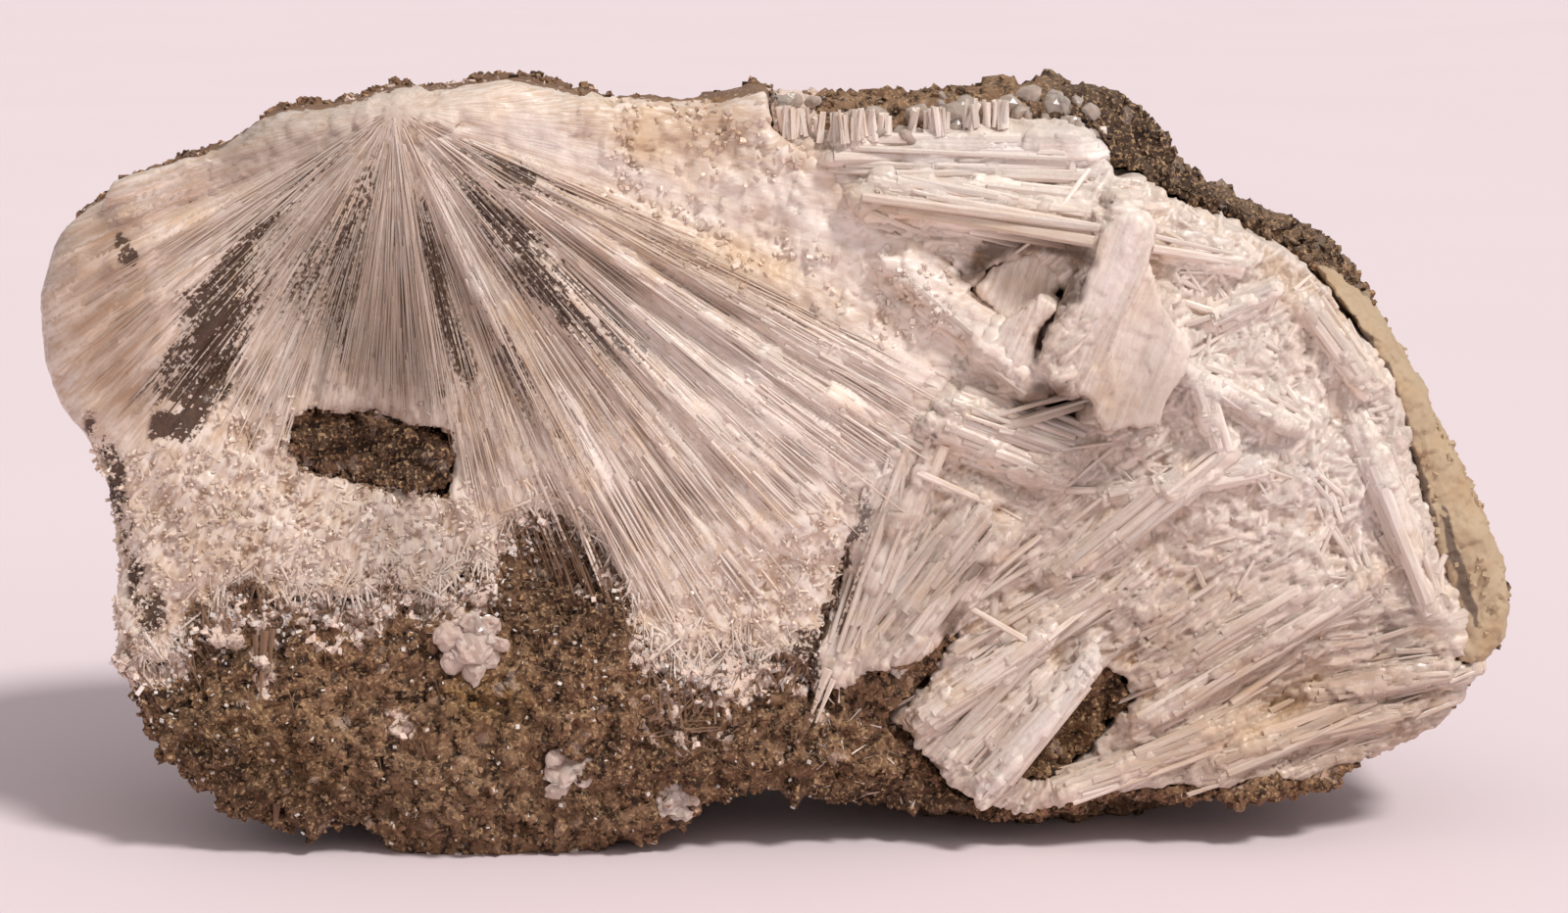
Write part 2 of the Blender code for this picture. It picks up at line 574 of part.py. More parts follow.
def main():
    for obj in list(bpy.data.objects):
        bpy.data.objects.remove(obj)
    scene = bpy.context.scene.collection
    parts = bpy.data.collections.new("strontianite_cluster")
    cutters = bpy.data.collections.new("cutters")
    crystals = bpy.data.collections.new("crystals_to_join")
    for collection in (parts, cutters, crystals):
        scene.children.link(collection)

    body = body_loft(cutters)
    shape_body(body)
    for index, form in enumerate(HOLLOWS):
        boolean(body, hollow(index, form, cutters), "DIFFERENCE")
    for name, start, end, width, thickness, stands_out, roll in BLADES:
        crystal(name, start, end, width, thickness, stands_out, roll, 0.9, crystals)
    spray_ribs(crystals)
    boolean(body, crystals, "UNION")
    facet_body(body)
    flatten_base(body, cutters)
    tufts = seat_tufts(body, parts, cutters)
    rock = cut_pieces(body, parts, cutters)

    for obj in parts.objects:
        obj.data.transform(Matrix.Translation((-MIDDLE[0] * MM, -MIDDLE[1] * MM, 0.0)))

    paint(rock, "grey-brown host rock", (0.20, 0.15, 0.11), 0.9)
    paint(bpy.data.objects["left_spray"], "fibrous strontianite", (0.74, 0.66, 0.59), 0.45)
    paint(bpy.data.objects["right_spray"], "bladed strontianite", (0.80, 0.72, 0.66), 0.45)
    paint(bpy.data.objects["weathered_rind"], "weathered rind", (0.66, 0.56, 0.38), 0.7)
    for obj in tufts:
        paint(obj, "tuft strontianite", (0.78, 0.72, 0.66), 0.4)
    for collection in (cutters, crystals):
        for obj in collection.objects:
            obj.hide_render = True
            obj.display_type = "WIRE"


main()
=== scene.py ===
"""Dresses a strontianite crystal cluster: fibres, blades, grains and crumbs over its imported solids.

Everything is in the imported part's frame: metres, +Z up, the crystal face towards -Y.
The tables below are millimetres on the crystal face, as (x, z).
"""

import math

import bmesh
import bpy
import numpy as np
from bpy.props import FloatProperty, FloatVectorProperty, IntProperty, PointerProperty
from mathutils import Euler, Matrix, Vector
from mathutils.bvhtree import BVHTree


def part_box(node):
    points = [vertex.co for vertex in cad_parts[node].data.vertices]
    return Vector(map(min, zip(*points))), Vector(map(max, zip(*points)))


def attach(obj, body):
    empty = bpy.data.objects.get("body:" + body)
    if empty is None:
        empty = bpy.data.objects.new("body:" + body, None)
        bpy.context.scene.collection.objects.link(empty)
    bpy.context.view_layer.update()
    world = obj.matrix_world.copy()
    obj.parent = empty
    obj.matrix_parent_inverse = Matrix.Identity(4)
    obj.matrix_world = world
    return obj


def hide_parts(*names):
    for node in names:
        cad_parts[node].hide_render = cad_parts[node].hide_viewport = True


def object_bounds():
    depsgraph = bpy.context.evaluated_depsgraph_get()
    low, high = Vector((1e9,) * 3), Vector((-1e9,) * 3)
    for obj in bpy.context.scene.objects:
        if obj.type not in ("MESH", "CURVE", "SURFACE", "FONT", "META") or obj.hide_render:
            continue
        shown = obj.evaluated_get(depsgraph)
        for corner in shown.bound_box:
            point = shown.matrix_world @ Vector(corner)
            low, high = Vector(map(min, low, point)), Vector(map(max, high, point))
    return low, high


bl_info = {
    "name": "Strontianite cluster",
    "version": (1, 0, 0),
    "blender": (4, 5, 0),
    "location": "3D View > Sidebar > Specimen",
    "description": "Builds the looks of a strontianite crystal cluster on host rock",
    "category": "Object",
}

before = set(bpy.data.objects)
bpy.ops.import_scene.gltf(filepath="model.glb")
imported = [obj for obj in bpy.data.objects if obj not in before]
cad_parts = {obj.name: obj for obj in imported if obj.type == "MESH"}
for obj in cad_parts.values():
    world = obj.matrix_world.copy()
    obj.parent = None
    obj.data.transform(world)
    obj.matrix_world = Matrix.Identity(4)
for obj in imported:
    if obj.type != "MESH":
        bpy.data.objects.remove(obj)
CAD_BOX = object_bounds()

MM = 0.001
# where rays start, in front of everything, in metres, and the way they go
RAY_START_Y = -0.06
INWARD = Vector((0.0, 1.0, 0.0))
# how far a crystal's streaks are shifted from another's, in millimetres for a tone of 1
GRAIN_SHIFT = 37.0
# how much of a crystal's length its streaks see, which draws them out along it
ALONG = 0.12
# points per square metre for one per square millimetre
PER_SQUARE_METRE = 1e6

APEX = (-39.3, 78.0)
# where the left spray ends against the host rock, left to right
ROCK_EDGE = (
    (-90.0, 21.5), (-66.7, 21.1), (-63.9, 20.7), (-61.4, 23.7), (-57.6, 26.6), (-54.8, 28.3),
    (-52.0, 26.3), (-48.9, 27.9), (-43.8, 27.2), (-40.7, 28.7), (-35.6, 27.9), (-32.5, 29.9),
    (-29.8, 28.9), (-28.9, 33.6), (-25.8, 36.2), (-21.8, 34.6), (-19.0, 33.1), (-16.2, 29.4),
    (-15.7, 25.2), (-13.7, 22.1), (-8.6, 20.3), (-4.0, 22.1), (0.1, 21.4), (3.0, 19.0),
)
# the recess in the fan where dark rock shows
WINDOW = (
    (-50.9, 45.4), (-48.2, 47.0), (-41.0, 46.0), (-34.1, 44.4), (-34.4, 37.7), (-42.0, 38.4),
    (-49.8, 40.7),
)
# where the two sprays meet above the host rock
SEAM = (
    (8.6, 39.3, 1.1), (10.7, 42.9, 1.1), (14.8, 47.0, 1.1), (19.8, 53.4, 1.1), (22.0, 56.8, 1.1),
    (17.8, 61.9, 1.1), (13.7, 64.3, 1.1), (9.6, 65.6, 1.1), (6.9, 68.8, 1.1), (5.1, 71.8, 1.1),
    (1.6, 73.8, 1.1), (-0.9, 74.3, 1.1),
)
# the upper edge of the right spray, under the dark crust
CRUST_EDGE = (
    (-0.9, 74.3), (3.1, 74.9), (11.6, 75.0), (16.8, 75.7), (25.1, 76.5), (30.4, 76.4),
    (32.6, 74.6), (34.0, 71.4), (36.6, 71.0), (38.7, 69.2), (42.4, 67.5), (46.8, 66.0),
    (50.3, 63.8), (55.2, 61.0),
)

# stains and tints of the crystals, with painted shade in the cavity and partly painted highlights: kind,
# strength, points along it as x, z and half width
STROKES = (
    ("brown", 0.80, ((-50.7, 68.4, 0.5), (-53.9, 64.8, 0.8), (-57.0, 61.2, 1.1), (-59.4, 57.7, 1.5))),
    ("brown", 1.00, ((-56.2, 60.2, 1.0), (-57.8, 55.7, 2.2), (-60.5, 50.6, 2.8), (-62.8, 46.0, 2.0))),
    ("brown", 0.55, ((-54.0, 59.7, 0.8), (-55.5, 55.7, 0.9), (-56.6, 52.6, 0.9))),
    ("brown", 0.90, ((-46.0, 65.6, 0.5), (-45.7, 59.7, 0.6), (-45.5, 54.1, 0.5))),
    ("brown", 0.60, ((-43.9, 68.8, 0.7), (-43.9, 63.8, 1.0), (-44.1, 58.7, 0.6))),
    ("brown", 0.45, ((-47.6, 63.8, 1.2), (-48.4, 59.7, 1.4), (-48.0, 56.7, 0.8))),
    ("brown", 0.90, ((-36.6, 68.2, 0.4), (-35.7, 63.2, 0.5), (-35.1, 58.1, 0.6), (-34.0, 54.1, 1.0))),
    ("brown", 0.90, ((-34.0, 54.1, 1.0), (-31.9, 51.4, 0.9))),
    ("brown", 0.80, ((-35.6, 51.2, 0.3), (-35.3, 49.0, 0.4))),
    ("brown", 0.90, ((-29.7, 72.9, 0.6), (-27.9, 71.6, 1.0), (-26.6, 70.6, 0.8))),
    ("brown", 0.95, ((-30.7, 68.5, 1.3), (-27.7, 64.3, 2.2), (-25.1, 60.5, 2.0), (-21.8, 57.1, 1.2))),
    ("brown", 0.80, ((-19.3, 56.6, 0.9), (-17.0, 55.4, 1.0), (-14.6, 53.8, 0.6))),
    ("brown", 0.90, ((-29.6, 55.7, 0.7), (-28.1, 53.6, 1.0), (-26.8, 51.2, 0.7))),
    ("brown", 0.35, ((-42.1, 72.3, 1.0), (-42.3, 67.8, 0.8))),
    ("brown", 0.90, ((-67.5, 64.3, 0.5), (-66.1, 63.2, 0.6))),
    ("brown", 0.60, ((-23.3, 45.0, 0.4), (-23.1, 44.4, 0.4))),
    ("brown", 0.50, ((-2.0, 54.6, 0.4), (-1.8, 54.4, 0.4))),
    ("brown", 0.45, ((-71.2, 46.0, 1.0), (-68.4, 40.3, 1.0), (-68.3, 34.1, 0.9))),
    ("brown", 0.50, ((-68.1, 32.0, 0.8), (-65.3, 25.8, 1.6))),
    ("brown", 0.85, ((8.6, 38.2, 0.4), (8.3, 35.1, 0.5), (6.4, 32.0, 0.4), (5.2, 27.3, 0.4))),
    ("brown", 0.85, ((5.2, 27.3, 0.4), (3.8, 22.6, 0.5), (3.2, 18.4, 0.5))),
    ("brown", 0.50, ((2.2, 22.6, 1.2), (3.7, 18.4, 1.0))),
    ("tan", 0.85, ((-69.2, 63.8, 5.1), (-69.4, 55.7, 6.1), (-67.6, 49.5, 4.1))),
    ("tan", 0.40, ((-62.0, 68.3, 3.0), (-54.9, 71.3, 3.0))),
    ("tan", 0.55, ((-20.3, 68.3, 1.2), (-9.9, 62.5, 1.6), (2.1, 56.9, 1.8))),
    ("tan", 0.50, ((-33.2, 50.6, 1.0), (-30.3, 41.3, 1.4), (-28.4, 35.1, 1.2))),
    ("tan", 0.35, ((-45.4, 46.5, 2.0), (-50.6, 41.3, 2.0))),
    ("tan", 0.30, ((-1.9, 48.5, 3.0), (2.1, 43.4, 3.0))),
    ("tan", 0.30, ((6.2, 46.5, 1.8), (9.2, 50.6, 1.8))),
    ("tan", 0.30, ((-61.8, 38.2, 4.1), (-56.9, 32.0, 4.1))),
    ("tan", 0.50, ((35.4, 55.7, 2.5), (37.0, 48.5, 2.8))),
    ("tan", 0.60, ((40.5, 23.7, 3.0), (39.5, 20.5, 2.8))),
    ("tan", 0.45, ((62.2, 34.1, 1.4), (63.9, 28.9, 1.4))),
    ("tan", 0.40, ((36.1, 11.1, 1.2), (47.3, 17.4, 2.2), (54.3, 22.6, 1.8))),
    ("tan", 0.35, ((10.8, 34.1, 1.8), (16.3, 46.5, 1.4))),
    ("tan", 0.45, ((20.7, 10.0, 2.0), (26.9, 6.8, 1.4))),
    # broad tan tints from here on darken whole regions: the lower right, the middle and the mid fan
    ("tan", 0.62, ((40.0, 22.0, 5.0), (56.0, 17.0, 7.0), (66.0, 14.0, 5.0))),
    ("tan", 0.60, ((40.0, 11.0, 4.0), (60.0, 9.0, 5.0))),
    ("tan", 0.45, ((37.0, 58.0, 2.4), (37.5, 49.0, 3.0))),
    ("tan", 0.30, ((-42.0, 60.0, 9.0), (-40.0, 50.0, 8.0))),
    ("tan", 0.30, ((25.0, 33.0, 7.0), (40.0, 30.0, 6.0))),
    ("tan", 0.55, ((-36.0, 58.0, 5.0), (-26.0, 52.0, 7.0), (-20.0, 46.0, 5.0))),
    ("tan", 0.45, ((42.0, 26.0, 4.0), (60.0, 20.0, 4.0), (64.0, 11.0, 4.0))),
    ("cream", 0.90, ((-13.4, 73.8, 3.0), (-9.9, 70.8, 2.8))),
    ("cream", 0.90, ((-5.4, 65.3, 2.8), (0.1, 62.5, 2.6))),
    ("cream", 0.80, ((6.1, 67.3, 2.2), (11.1, 66.8, 2.0))),
    ("cream", 0.35, ((-17.9, 72.8, 5.1), (-7.9, 68.8, 6.1), (2.1, 62.8, 5.6), (10.2, 56.7, 3.0))),
    ("cream", 0.60, ((29.2, 65.8, 2.0), (26.2, 67.3, 1.4))),
    ("cream", 0.50, ((26.3, 73.0, 1.2), (25.9, 72.6, 1.0))),
    ("cream", 0.50, ((31.2, 64.8, 1.4), (32.0, 63.8, 1.2))),
    ("cream", 0.45, ((37.3, 59.7, 1.8), (41.4, 57.7, 1.8))),
    ("cream", 0.40, ((51.6, 53.6, 2.2), (53.5, 54.6, 2.0))),
    ("cream", 0.30, ((44.7, 45.4, 1.8), (48.7, 46.5, 1.8))),
    ("cream", 0.40, ((46.3, 13.2, 3.0), (54.5, 15.3, 2.4))),
    ("grey", 0.85, ((-41.7, 55.7, 5.6), (-40.3, 50.6, 4.9))),
    ("grey", 0.50, ((-47.1, 63.8, 3.5), (-38.0, 64.8, 3.5))),
    ("grey", 0.55, ((-55.9, 73.3, 3.0), (-46.8, 74.8, 3.5))),
    ("grey", 0.40, ((-40.6, 34.1, 4.1), (-36.5, 32.0, 3.5))),
    ("grey", 0.35, ((34.5, 46.5, 4.1), (38.5, 50.6, 3.0))),
    ("grey", 0.35, ((15.4, 32.0, 3.0), (10.3, 25.8, 3.0))),
    ("grey", 0.35, ((63.5, 23.7, 3.0), (65.7, 19.5, 2.5))),
    ("grey", 0.30, ((26.5, 40.3, 3.0), (31.5, 44.4, 2.5))),
    # white strokes: partly whiter crystal, partly painted highlight where the light falls brightest
    ("white", 0.70, ((-26.8, 75.8, 1.4), (-14.9, 70.8, 1.6), (-3.9, 65.8, 1.4), (10.2, 58.7, 1.2))),
    ("white", 0.80, ((-34.9, 70.8, 0.8), (-31.1, 59.7, 0.8))),
    ("white", 0.80, ((-23.1, 49.5, 0.8), (-17.1, 38.2, 0.8))),
    ("white", 0.80, ((20.7, 6.8, 1.2), (32.6, 22.1, 1.2))),
    ("white", 0.95, ((12.0, 73.6, 2.2), (32.0, 73.4, 3.0))),
    ("white", 0.60, ((12.0, 62.0, 1.5), (24.0, 52.5, 1.5))),
    ("white", 0.85, ((34.8, 67.0, 2.0), (32.5, 59.5, 2.0))),
    ("white", 0.60, ((-12.0, 56.0, 3.5), (-3.0, 50.0, 6.0), (8.0, 42.0, 5.0))),
    ("white", 0.55, ((6.0, 52.0, 5.0), (15.0, 52.0, 5.0))),
    ("white", 0.50, ((-10.0, 71.0, 3.0), (-2.0, 68.0, 3.0))),
    ("white", 0.80, ((0.0, 68.0, 3.0), (10.0, 63.0, 3.0))),
    ("white", 0.70, ((42.0, 56.0, 7.0), (52.0, 44.0, 10.0), (60.0, 38.0, 5.0))),
    ("white", 0.50, ((10.0, 72.0, 3.0), (30.0, 71.0, 4.0))),
    # painted shadow in the cavity around the plates and in small holes
    ("deep", 1.00, ((18.6, 61.2, 0.7), (22.8, 64.3, 0.8), (26.5, 64.6, 0.6), (30.3, 63.5, 1.0))),
    ("deep", 1.00, ((29.6, 61.0, 0.8), (28.6, 59.0, 0.5))),
    ("deep", 1.00, ((24.8, 48.6, 1.2), (28.0, 48.6, 1.7), (29.4, 47.6, 1.2))),
    ("deep", 0.90, ((25.2, 53.0, 0.5), (26.2, 56.4, 0.4))),
    ("deep", 0.90, ((17.0, 24.0, 0.9), (18.0, 26.4, 0.7))),
    ("deep", 0.80, ((20.9, 30.7, 0.9), (20.9, 30.9, 0.9))),
    ("deep", 0.70, ((38.8, 33.4, 0.6), (39.0, 33.5, 0.6))),
    ("deep", 0.60, ((47.2, 43.1, 0.7), (47.3, 43.2, 0.7))),
)
# patches of the host rock, some dark ones painted shade: kind, strength, points as x, z and half width
ROCK_STROKES = (
    # painted shade in the dark hollow
    ("dark", 0.85, ((-26.0, 33.5, 2.2), (-22.3, 30.0, 5.0), (-19.5, 27.5, 3.5))),
    ("dark", 0.55, ((-59.0, 21.5, 3.0), (-54.0, 21.0, 2.5))),
    # painted shade on the lower left, the side away from the light
    ("dark", 0.60, ((-61.0, 13.5, 4.0), (-55.0, 7.5, 5.0), (-47.0, 3.5, 3.5))),
    ("dark", 0.95, ((-48.0, 43.6, 2.4), (-42.0, 42.4, 3.4), (-37.0, 41.5, 3.0))),
    ("dark", 0.35, ((-16.0, 10.0, 3.0), (-6.0, 13.0, 3.5))),
    # the lower ledge: partly brown rock, partly painted shade under the overhang
    ("dark", 0.80, ((2.0, 5.6, 1.8), (18.0, 5.0, 2.0))),
    ("dark", 0.75, ((33.0, 73.5, 3.0), (40.0, 70.5, 3.0), (46.0, 67.0, 2.2))),
    ("light", 0.60, ((-2.0, 77.5, 3.5), (12.0, 77.5, 3.5), (24.0, 78.5, 3.0))),
    ("dark", 0.90, ((30.0, 77.0, 3.0), (36.0, 75.5, 3.5), (42.0, 70.0, 3.0))),
    ("dark", 0.60, ((28.0, 11.0, 3.0), (35.0, 17.0, 3.0))),
    ("ochre", 0.80, ((-33.0, 18.0, 2.0), (-29.0, 17.3, 2.2))),
    ("ochre", 0.35, ((-58.0, 13.0, 3.5), (-50.0, 9.0, 3.5))),
    ("ochre", 0.40, ((36.0, 14.0, 3.0), (28.0, 12.0, 3.0))),
    ("light", 0.55, ((-46.6, 12.5, 1.4), (-38.1, 16.2, 1.4), (-30.0, 14.0, 1.6))),
    ("light", 0.60, ((-42.0, 8.0, 5.0), (-30.0, 7.0, 5.0), (-22.0, 4.0, 4.0))),
    ("light", 0.40, ((3.0, 15.5, 4.0), (13.0, 17.5, 3.0))),
    ("light", 0.50, ((14.0, 77.6, 2.0), (24.0, 79.0, 2.0), (30.0, 78.5, 2.0))),
    ("white", 0.75, ((-62.0, 27.0, 2.5), (-57.0, 25.0, 2.0))),
    ("white", 0.60, ((-53.8, 24.0, 1.4), (-53.8, 18.0, 1.0))),
    ("white", 0.50, ((-47.5, 24.5, 2.0), (-43.0, 25.0, 2.0))),
    ("white", 0.45, ((-40.0, 15.0, 1.2), (-39.0, 14.5, 1.2))),
    ("white", 0.40, ((-11.2, 15.1, 3.0), (-8.0, 15.5, 2.5))),
    ("white", 0.45, ((-10.0, 19.5, 2.0), (-3.0, 20.5, 2.0))),
)

# main blades of the right spray: from, to, width
BLADES = (
    ((5.1, 73.8), (33.6, 73.6), 4.6),
    ((8.1, 69.6), (31.8, 66.3), 5.9),
    ((34.2, 65.4), (47.8, 61.9), 2.8),
    ((10.7, 63.0), (27.6, 49.1), 5.3),
    ((20.6, 54.1), (28.9, 62.7), 4.3),
    ((20.3, 46.5), (32.4, 51.0), 4.1),
    ((16.3, 47.0), (30.2, 41.7), 8.3),
    ((5.3, 17.6), (15.5, 44.4), 3.7),
    ((9.1, 19.9), (22.1, 37.4), 8.4),
    ((20.5, 5.9), (32.6, 22.2), 2.6),
    ((13.3, 13.4), (28.1, 23.9), 3.2),
    ((17.6, 8.4), (27.7, 20.3), 5.4),
    ((19.3, 19.2), (33.3, 29.0), 4.4),
    ((28.4, 6.4), (47.1, 13.4), 3.2),
    ((36.7, 14.0), (61.9, 29.0), 2.8),
    ((38.3, 18.2), (55.1, 28.6), 2.4),
    ((44.7, 9.2), (62.7, 15.9), 3.6),
    ((27.6, 28.9), (41.3, 40.9), 3.2),
    ((31.7, 31.5), (46.5, 44.0), 2.5),
    ((32.6, 38.2), (49.8, 41.3), 2.2),
    ((42.0, 50.8), (44.9, 43.0), 1.8),
    ((38.4, 52.6), (53.3, 45.1), 1.9),
    ((43.4, 56.7), (51.0, 59.9), 2.0),
    ((53.4, 58.4), (60.8, 48.5), 2.4),
    ((59.1, 46.8), (68.1, 25.0), 2.6),
    ((51.5, 11.4), (67.6, 14.2), 2.4),
    ((54.5, 16.0), (70.1, 19.0), 2.6),
)
# broad plates in and beside the cavity:
# outline, depth of the front, thickness, lean about the vertical and about the horizontal in degrees
PLATES = (
    (
        (
            (26.3, 52.0), (25.9, 53.0), (28.2, 58.1), (29.6, 59.6), (30.5, 62.1), (31.9, 66.1),
            (33.6, 68.0), (35.4, 67.9), (36.8, 66.7), (36.6, 63.6), (35.6, 60.3), (34.3, 57.7),
            (33.3, 54.0), (33.6, 50.2), (31.7, 48.4),
        ),
        -29.3, 5.0, -9.0, 3.0,
    ),
    (
        (
            (31.2, 47.9), (33.6, 50.2), (33.3, 54.0), (35.6, 60.3), (36.8, 63.1), (37.9, 59.6),
            (39.4, 57.2), (41.2, 54.4), (41.0, 51.6), (38.9, 48.7), (38.4, 46.2), (32.6, 45.7),
        ),
        -28.4, 5.0, 9.0, 2.0,
    ),
    (
        (
            (19.6, 59.8), (23.0, 62.7), (26.0, 63.6), (27.7, 62.8), (29.4, 61.2), (26.4, 57.6),
            (23.3, 55.8), (22.1, 56.7),
        ),
        -23.4, 4.5, 8.0, -6.0,
    ),
    (
        (
            (20.3, 54.4), (22.1, 56.7), (26.4, 59.4), (28.0, 58.1), (26.2, 56.3), (25.3, 53.4),
            (28.0, 50.2), (26.1, 48.8), (22.6, 50.9),
        ),
        -26.6, 4.0, -6.0, 4.0,
    ),
)
# lumps of clear grey crystal in the top crust, as x, z and radius
CRUST_LUMPS = (
    (9.5, 77.2, 1.8), (13.2, 77.8, 2.2), (16.4, 77.6, 2.0), (19.8, 78.4, 2.2), (23.7, 78.8, 2.0),
    (27.6, 78.8, 2.1), (31.2, 77.8, 1.9), (12.6, 75.9, 1.5), (9.4, 76.0, 1.3),
    (21.6, 77.2, 1.5), (25.6, 77.6, 1.4), (-0.4, 78.2, 1.6), (3.6, 78.0, 1.5), (6.6, 77.6, 1.5),
    (17.8, 76.4, 1.3), (29.4, 77.2, 1.4), (1.6, 76.6, 1.2), (5.4, 76.2, 1.1),
)
# upright tufts under the top crust: x, z, spread, crystals, length
EDGE_TUFTS = (
    (0.9, 76.3, 1.8, 14, 3.4), (5.6, 75.9, 2.2, 18, 3.6), (9.2, 76.2, 2.0, 14, 3.2),
    (20.6, 77.2, 2.4, 16, 3.2), (14.6, 76.6, 2.0, 12, 2.8),
)
# tufts on the host rock: node, x, z, radius of a plate, plates
TUFTS = (
    ("rosette_low", -11.2, 5.9, 1.5, 8),
    ("rosette_mid", -22.7, 9.6, 2.0, 4),
    ("rosette_high", -31.9, 23.2, 2.5, 8),
)


class StrontianiteSettings(bpy.types.PropertyGroup):
    """Sizes and colours of the specimen that a user would change."""

    fibre_count: IntProperty(
        name="Fibres", description="Fibres laid on the left fan", default=3800, min=0
    )
    fibre_width: FloatProperty(
        name="Fibre width", description="Width of a fan fibre",
        default=0.24 * MM, unit="LENGTH", subtype="DISTANCE",
    )
    filler_count: IntProperty(
        name="Small blades", description="Small blades between the main ones", default=3600, min=0
    )
    crumb_size: FloatProperty(
        name="Crumb size", description="Size of the host rock's crumbs",
        default=0.8 * MM, unit="LENGTH", subtype="DISTANCE",
    )
    clean_colour: FloatVectorProperty(
        name="Clean crystal", description="Colour of unstained strontianite",
        default=(0.87, 0.735, 0.645), subtype="COLOR", size=3, min=0.0, max=1.0,
    )
    rock_colour: FloatVectorProperty(
        name="Host rock", description="Main colour of the host rock",
        default=(0.27, 0.155, 0.088), subtype="COLOR", size=3, min=0.0, max=1.0,
    )
    rind_colour: FloatVectorProperty(
        name="Rind", description="Colour of the weathered rind",
        default=(0.43, 0.32, 0.205), subtype="COLOR", size=3, min=0.0, max=1.0,
    )
    floor_colour: FloatVectorProperty(
        name="Floor", description="Colour of the paper under the specimen",
        default=(0.82, 0.69, 0.72), subtype="COLOR", size=3, min=0.0, max=1.0,
    )
    seed: IntProperty(name="Seed", description="Seed of everything scattered", default=7)


def linear(hex_colour):
    """A linear RGBA colour from an sRGB hex value."""
    values = [int(hex_colour[i : i + 2], 16) / 255.0 for i in (1, 3, 5)]
    return (*(v / 12.92 if v <= 0.04045 else ((v + 0.055) / 1.055) ** 2.4 for v in values), 1.0)


def smooth_step(low, high, value):
    """0 at low, 1 at high, and smooth between them, for arrays."""
    t = np.clip((value - low) / (high - low), 0.0, 1.0)
    return t * t * (3.0 - 2.0 * t)


def lattice(i, j, k, seed):
    """A repeatable random value in 0 to 1 for each lattice point."""
    n = (i * 374761393 + j * 668265263 + k * 1274126177 + seed * 974634777).astype(np.uint32)
    n = (n ^ (n >> np.uint32(13))) * np.uint32(1274126177)
    n = n ^ (n >> np.uint32(16))
    return n.astype(np.float64) / 4294967295.0


def noise(points, cell, seed=0):
    """Smooth noise from -1 to 1 whose lumps are about a cell across."""
    p = np.asarray(points) / cell + 1000.0
    base = np.floor(p).astype(np.int64)
    f = p - base
    f = f * f * (3.0 - 2.0 * f)
    total = np.zeros(len(p))
    for corner in range(8):
        step = np.array((corner & 1, corner >> 1 & 1, corner >> 2 & 1))
        weight = np.prod(np.where(step, f, 1.0 - f), axis=1)
        i, j, k = (base + step).T
        total += weight * lattice(i, j, k, seed)
    return 2.0 * total - 1.0


def facets(points, cell, seed=0):
    """Height of a mass of faceted grains about a cell across: each grain is a flat, tilted face."""
    p = np.asarray(points) / cell + 1000.0
    base = np.floor(p).astype(np.int64)
    nearest = np.full(len(p), 1e9)
    height = np.zeros(len(p))
    for number in range(27):
        spot = base + np.array((number % 3 - 1, number // 3 % 3 - 1, number // 9 - 1))
        i, j, k = spot.T
        centre = spot + np.stack([lattice(i, j, k, seed + n) for n in (1, 2, 3)], 1)
        away = p - centre
        distance = (away**2).sum(1)
        closer = distance < nearest
        nearest[closer] = distance[closer]
        i, j, k, away = i[closer], j[closer], k[closer], away[closer]
        tilt = np.stack([lattice(i, j, k, seed + n) for n in (4, 5, 6)], 1) * 2.0 - 1.0
        height[closer] = (away * tilt).sum(1) + 0.8 * (lattice(i, j, k, seed + 7) - 0.5)
    return height


def stroke_mask(x, z, points, soft):
    """1 inside a stroke of varying width, falling to 0 past its edge."""
    best = np.full(len(x), 1e9)
    for (x0, z0, h0), (x1, z1, h1) in zip(points, points[1:]):
        dx, dz = x1 - x0, z1 - z0
        t = np.clip(((x - x0) * dx + (z - z0) * dz) / (dx * dx + dz * dz), 0.0, 1.0)
        half = h0 + (h1 - h0) * t
        best = np.minimum(best, np.hypot(x - x0 - dx * t, z - z0 - dz * t) / half)
    if soft:
        return np.exp(-((best / 1.25) ** 2))
    return 1.0 - smooth_step(0.45, 1.75, best)


def in_outline(x, z, outline):
    """Whether each point lies inside a closed outline."""
    inside = np.zeros(len(x), dtype=bool)
    for (x0, z0), (x1, z1) in zip(outline, outline[1:] + outline[:1]):
        if z0 == z1:
            continue
        crosses = (z0 > z) != (z1 > z)
        inside ^= crosses & (x < x0 + (z - z0) * (x1 - x0) / (z1 - z0))
    return inside


def edge_height(line, x):
    """Height of a left-to-right line of (x, z) points at each x."""
    return np.interp(x, [p[0] for p in line], [p[1] for p in line])


def polar(x, z):
    """Angle from straight down, in radians, and distance from the fan's apex."""
    dx, dz = x - APEX[0], z - APEX[1]
    return np.arctan2(dx, -dz), np.hypot(dx, dz)


def fan_reach(angle):
    """How far from the apex the fan's fibres run at an angle, in millimetres."""
    degrees = np.degrees(angle)
    right = 26.0 * smooth_step(2.0, 30.0, degrees)
    return 35.0 + right + 9.0 * smooth_step(-32.0, -48.0, degrees)


def sugar_mask(x, z):
    """1 on the sugary mass above the fan's right edge."""
    line = ((-19.0, 75.8, 4.5), (-9.0, 72.5, 6.0), (1.5, 67.0, 6.5), (9.0, 61.5, 6.0), (14.0, 58.0, 4.5))
    return stroke_mask(x, z, line, False)


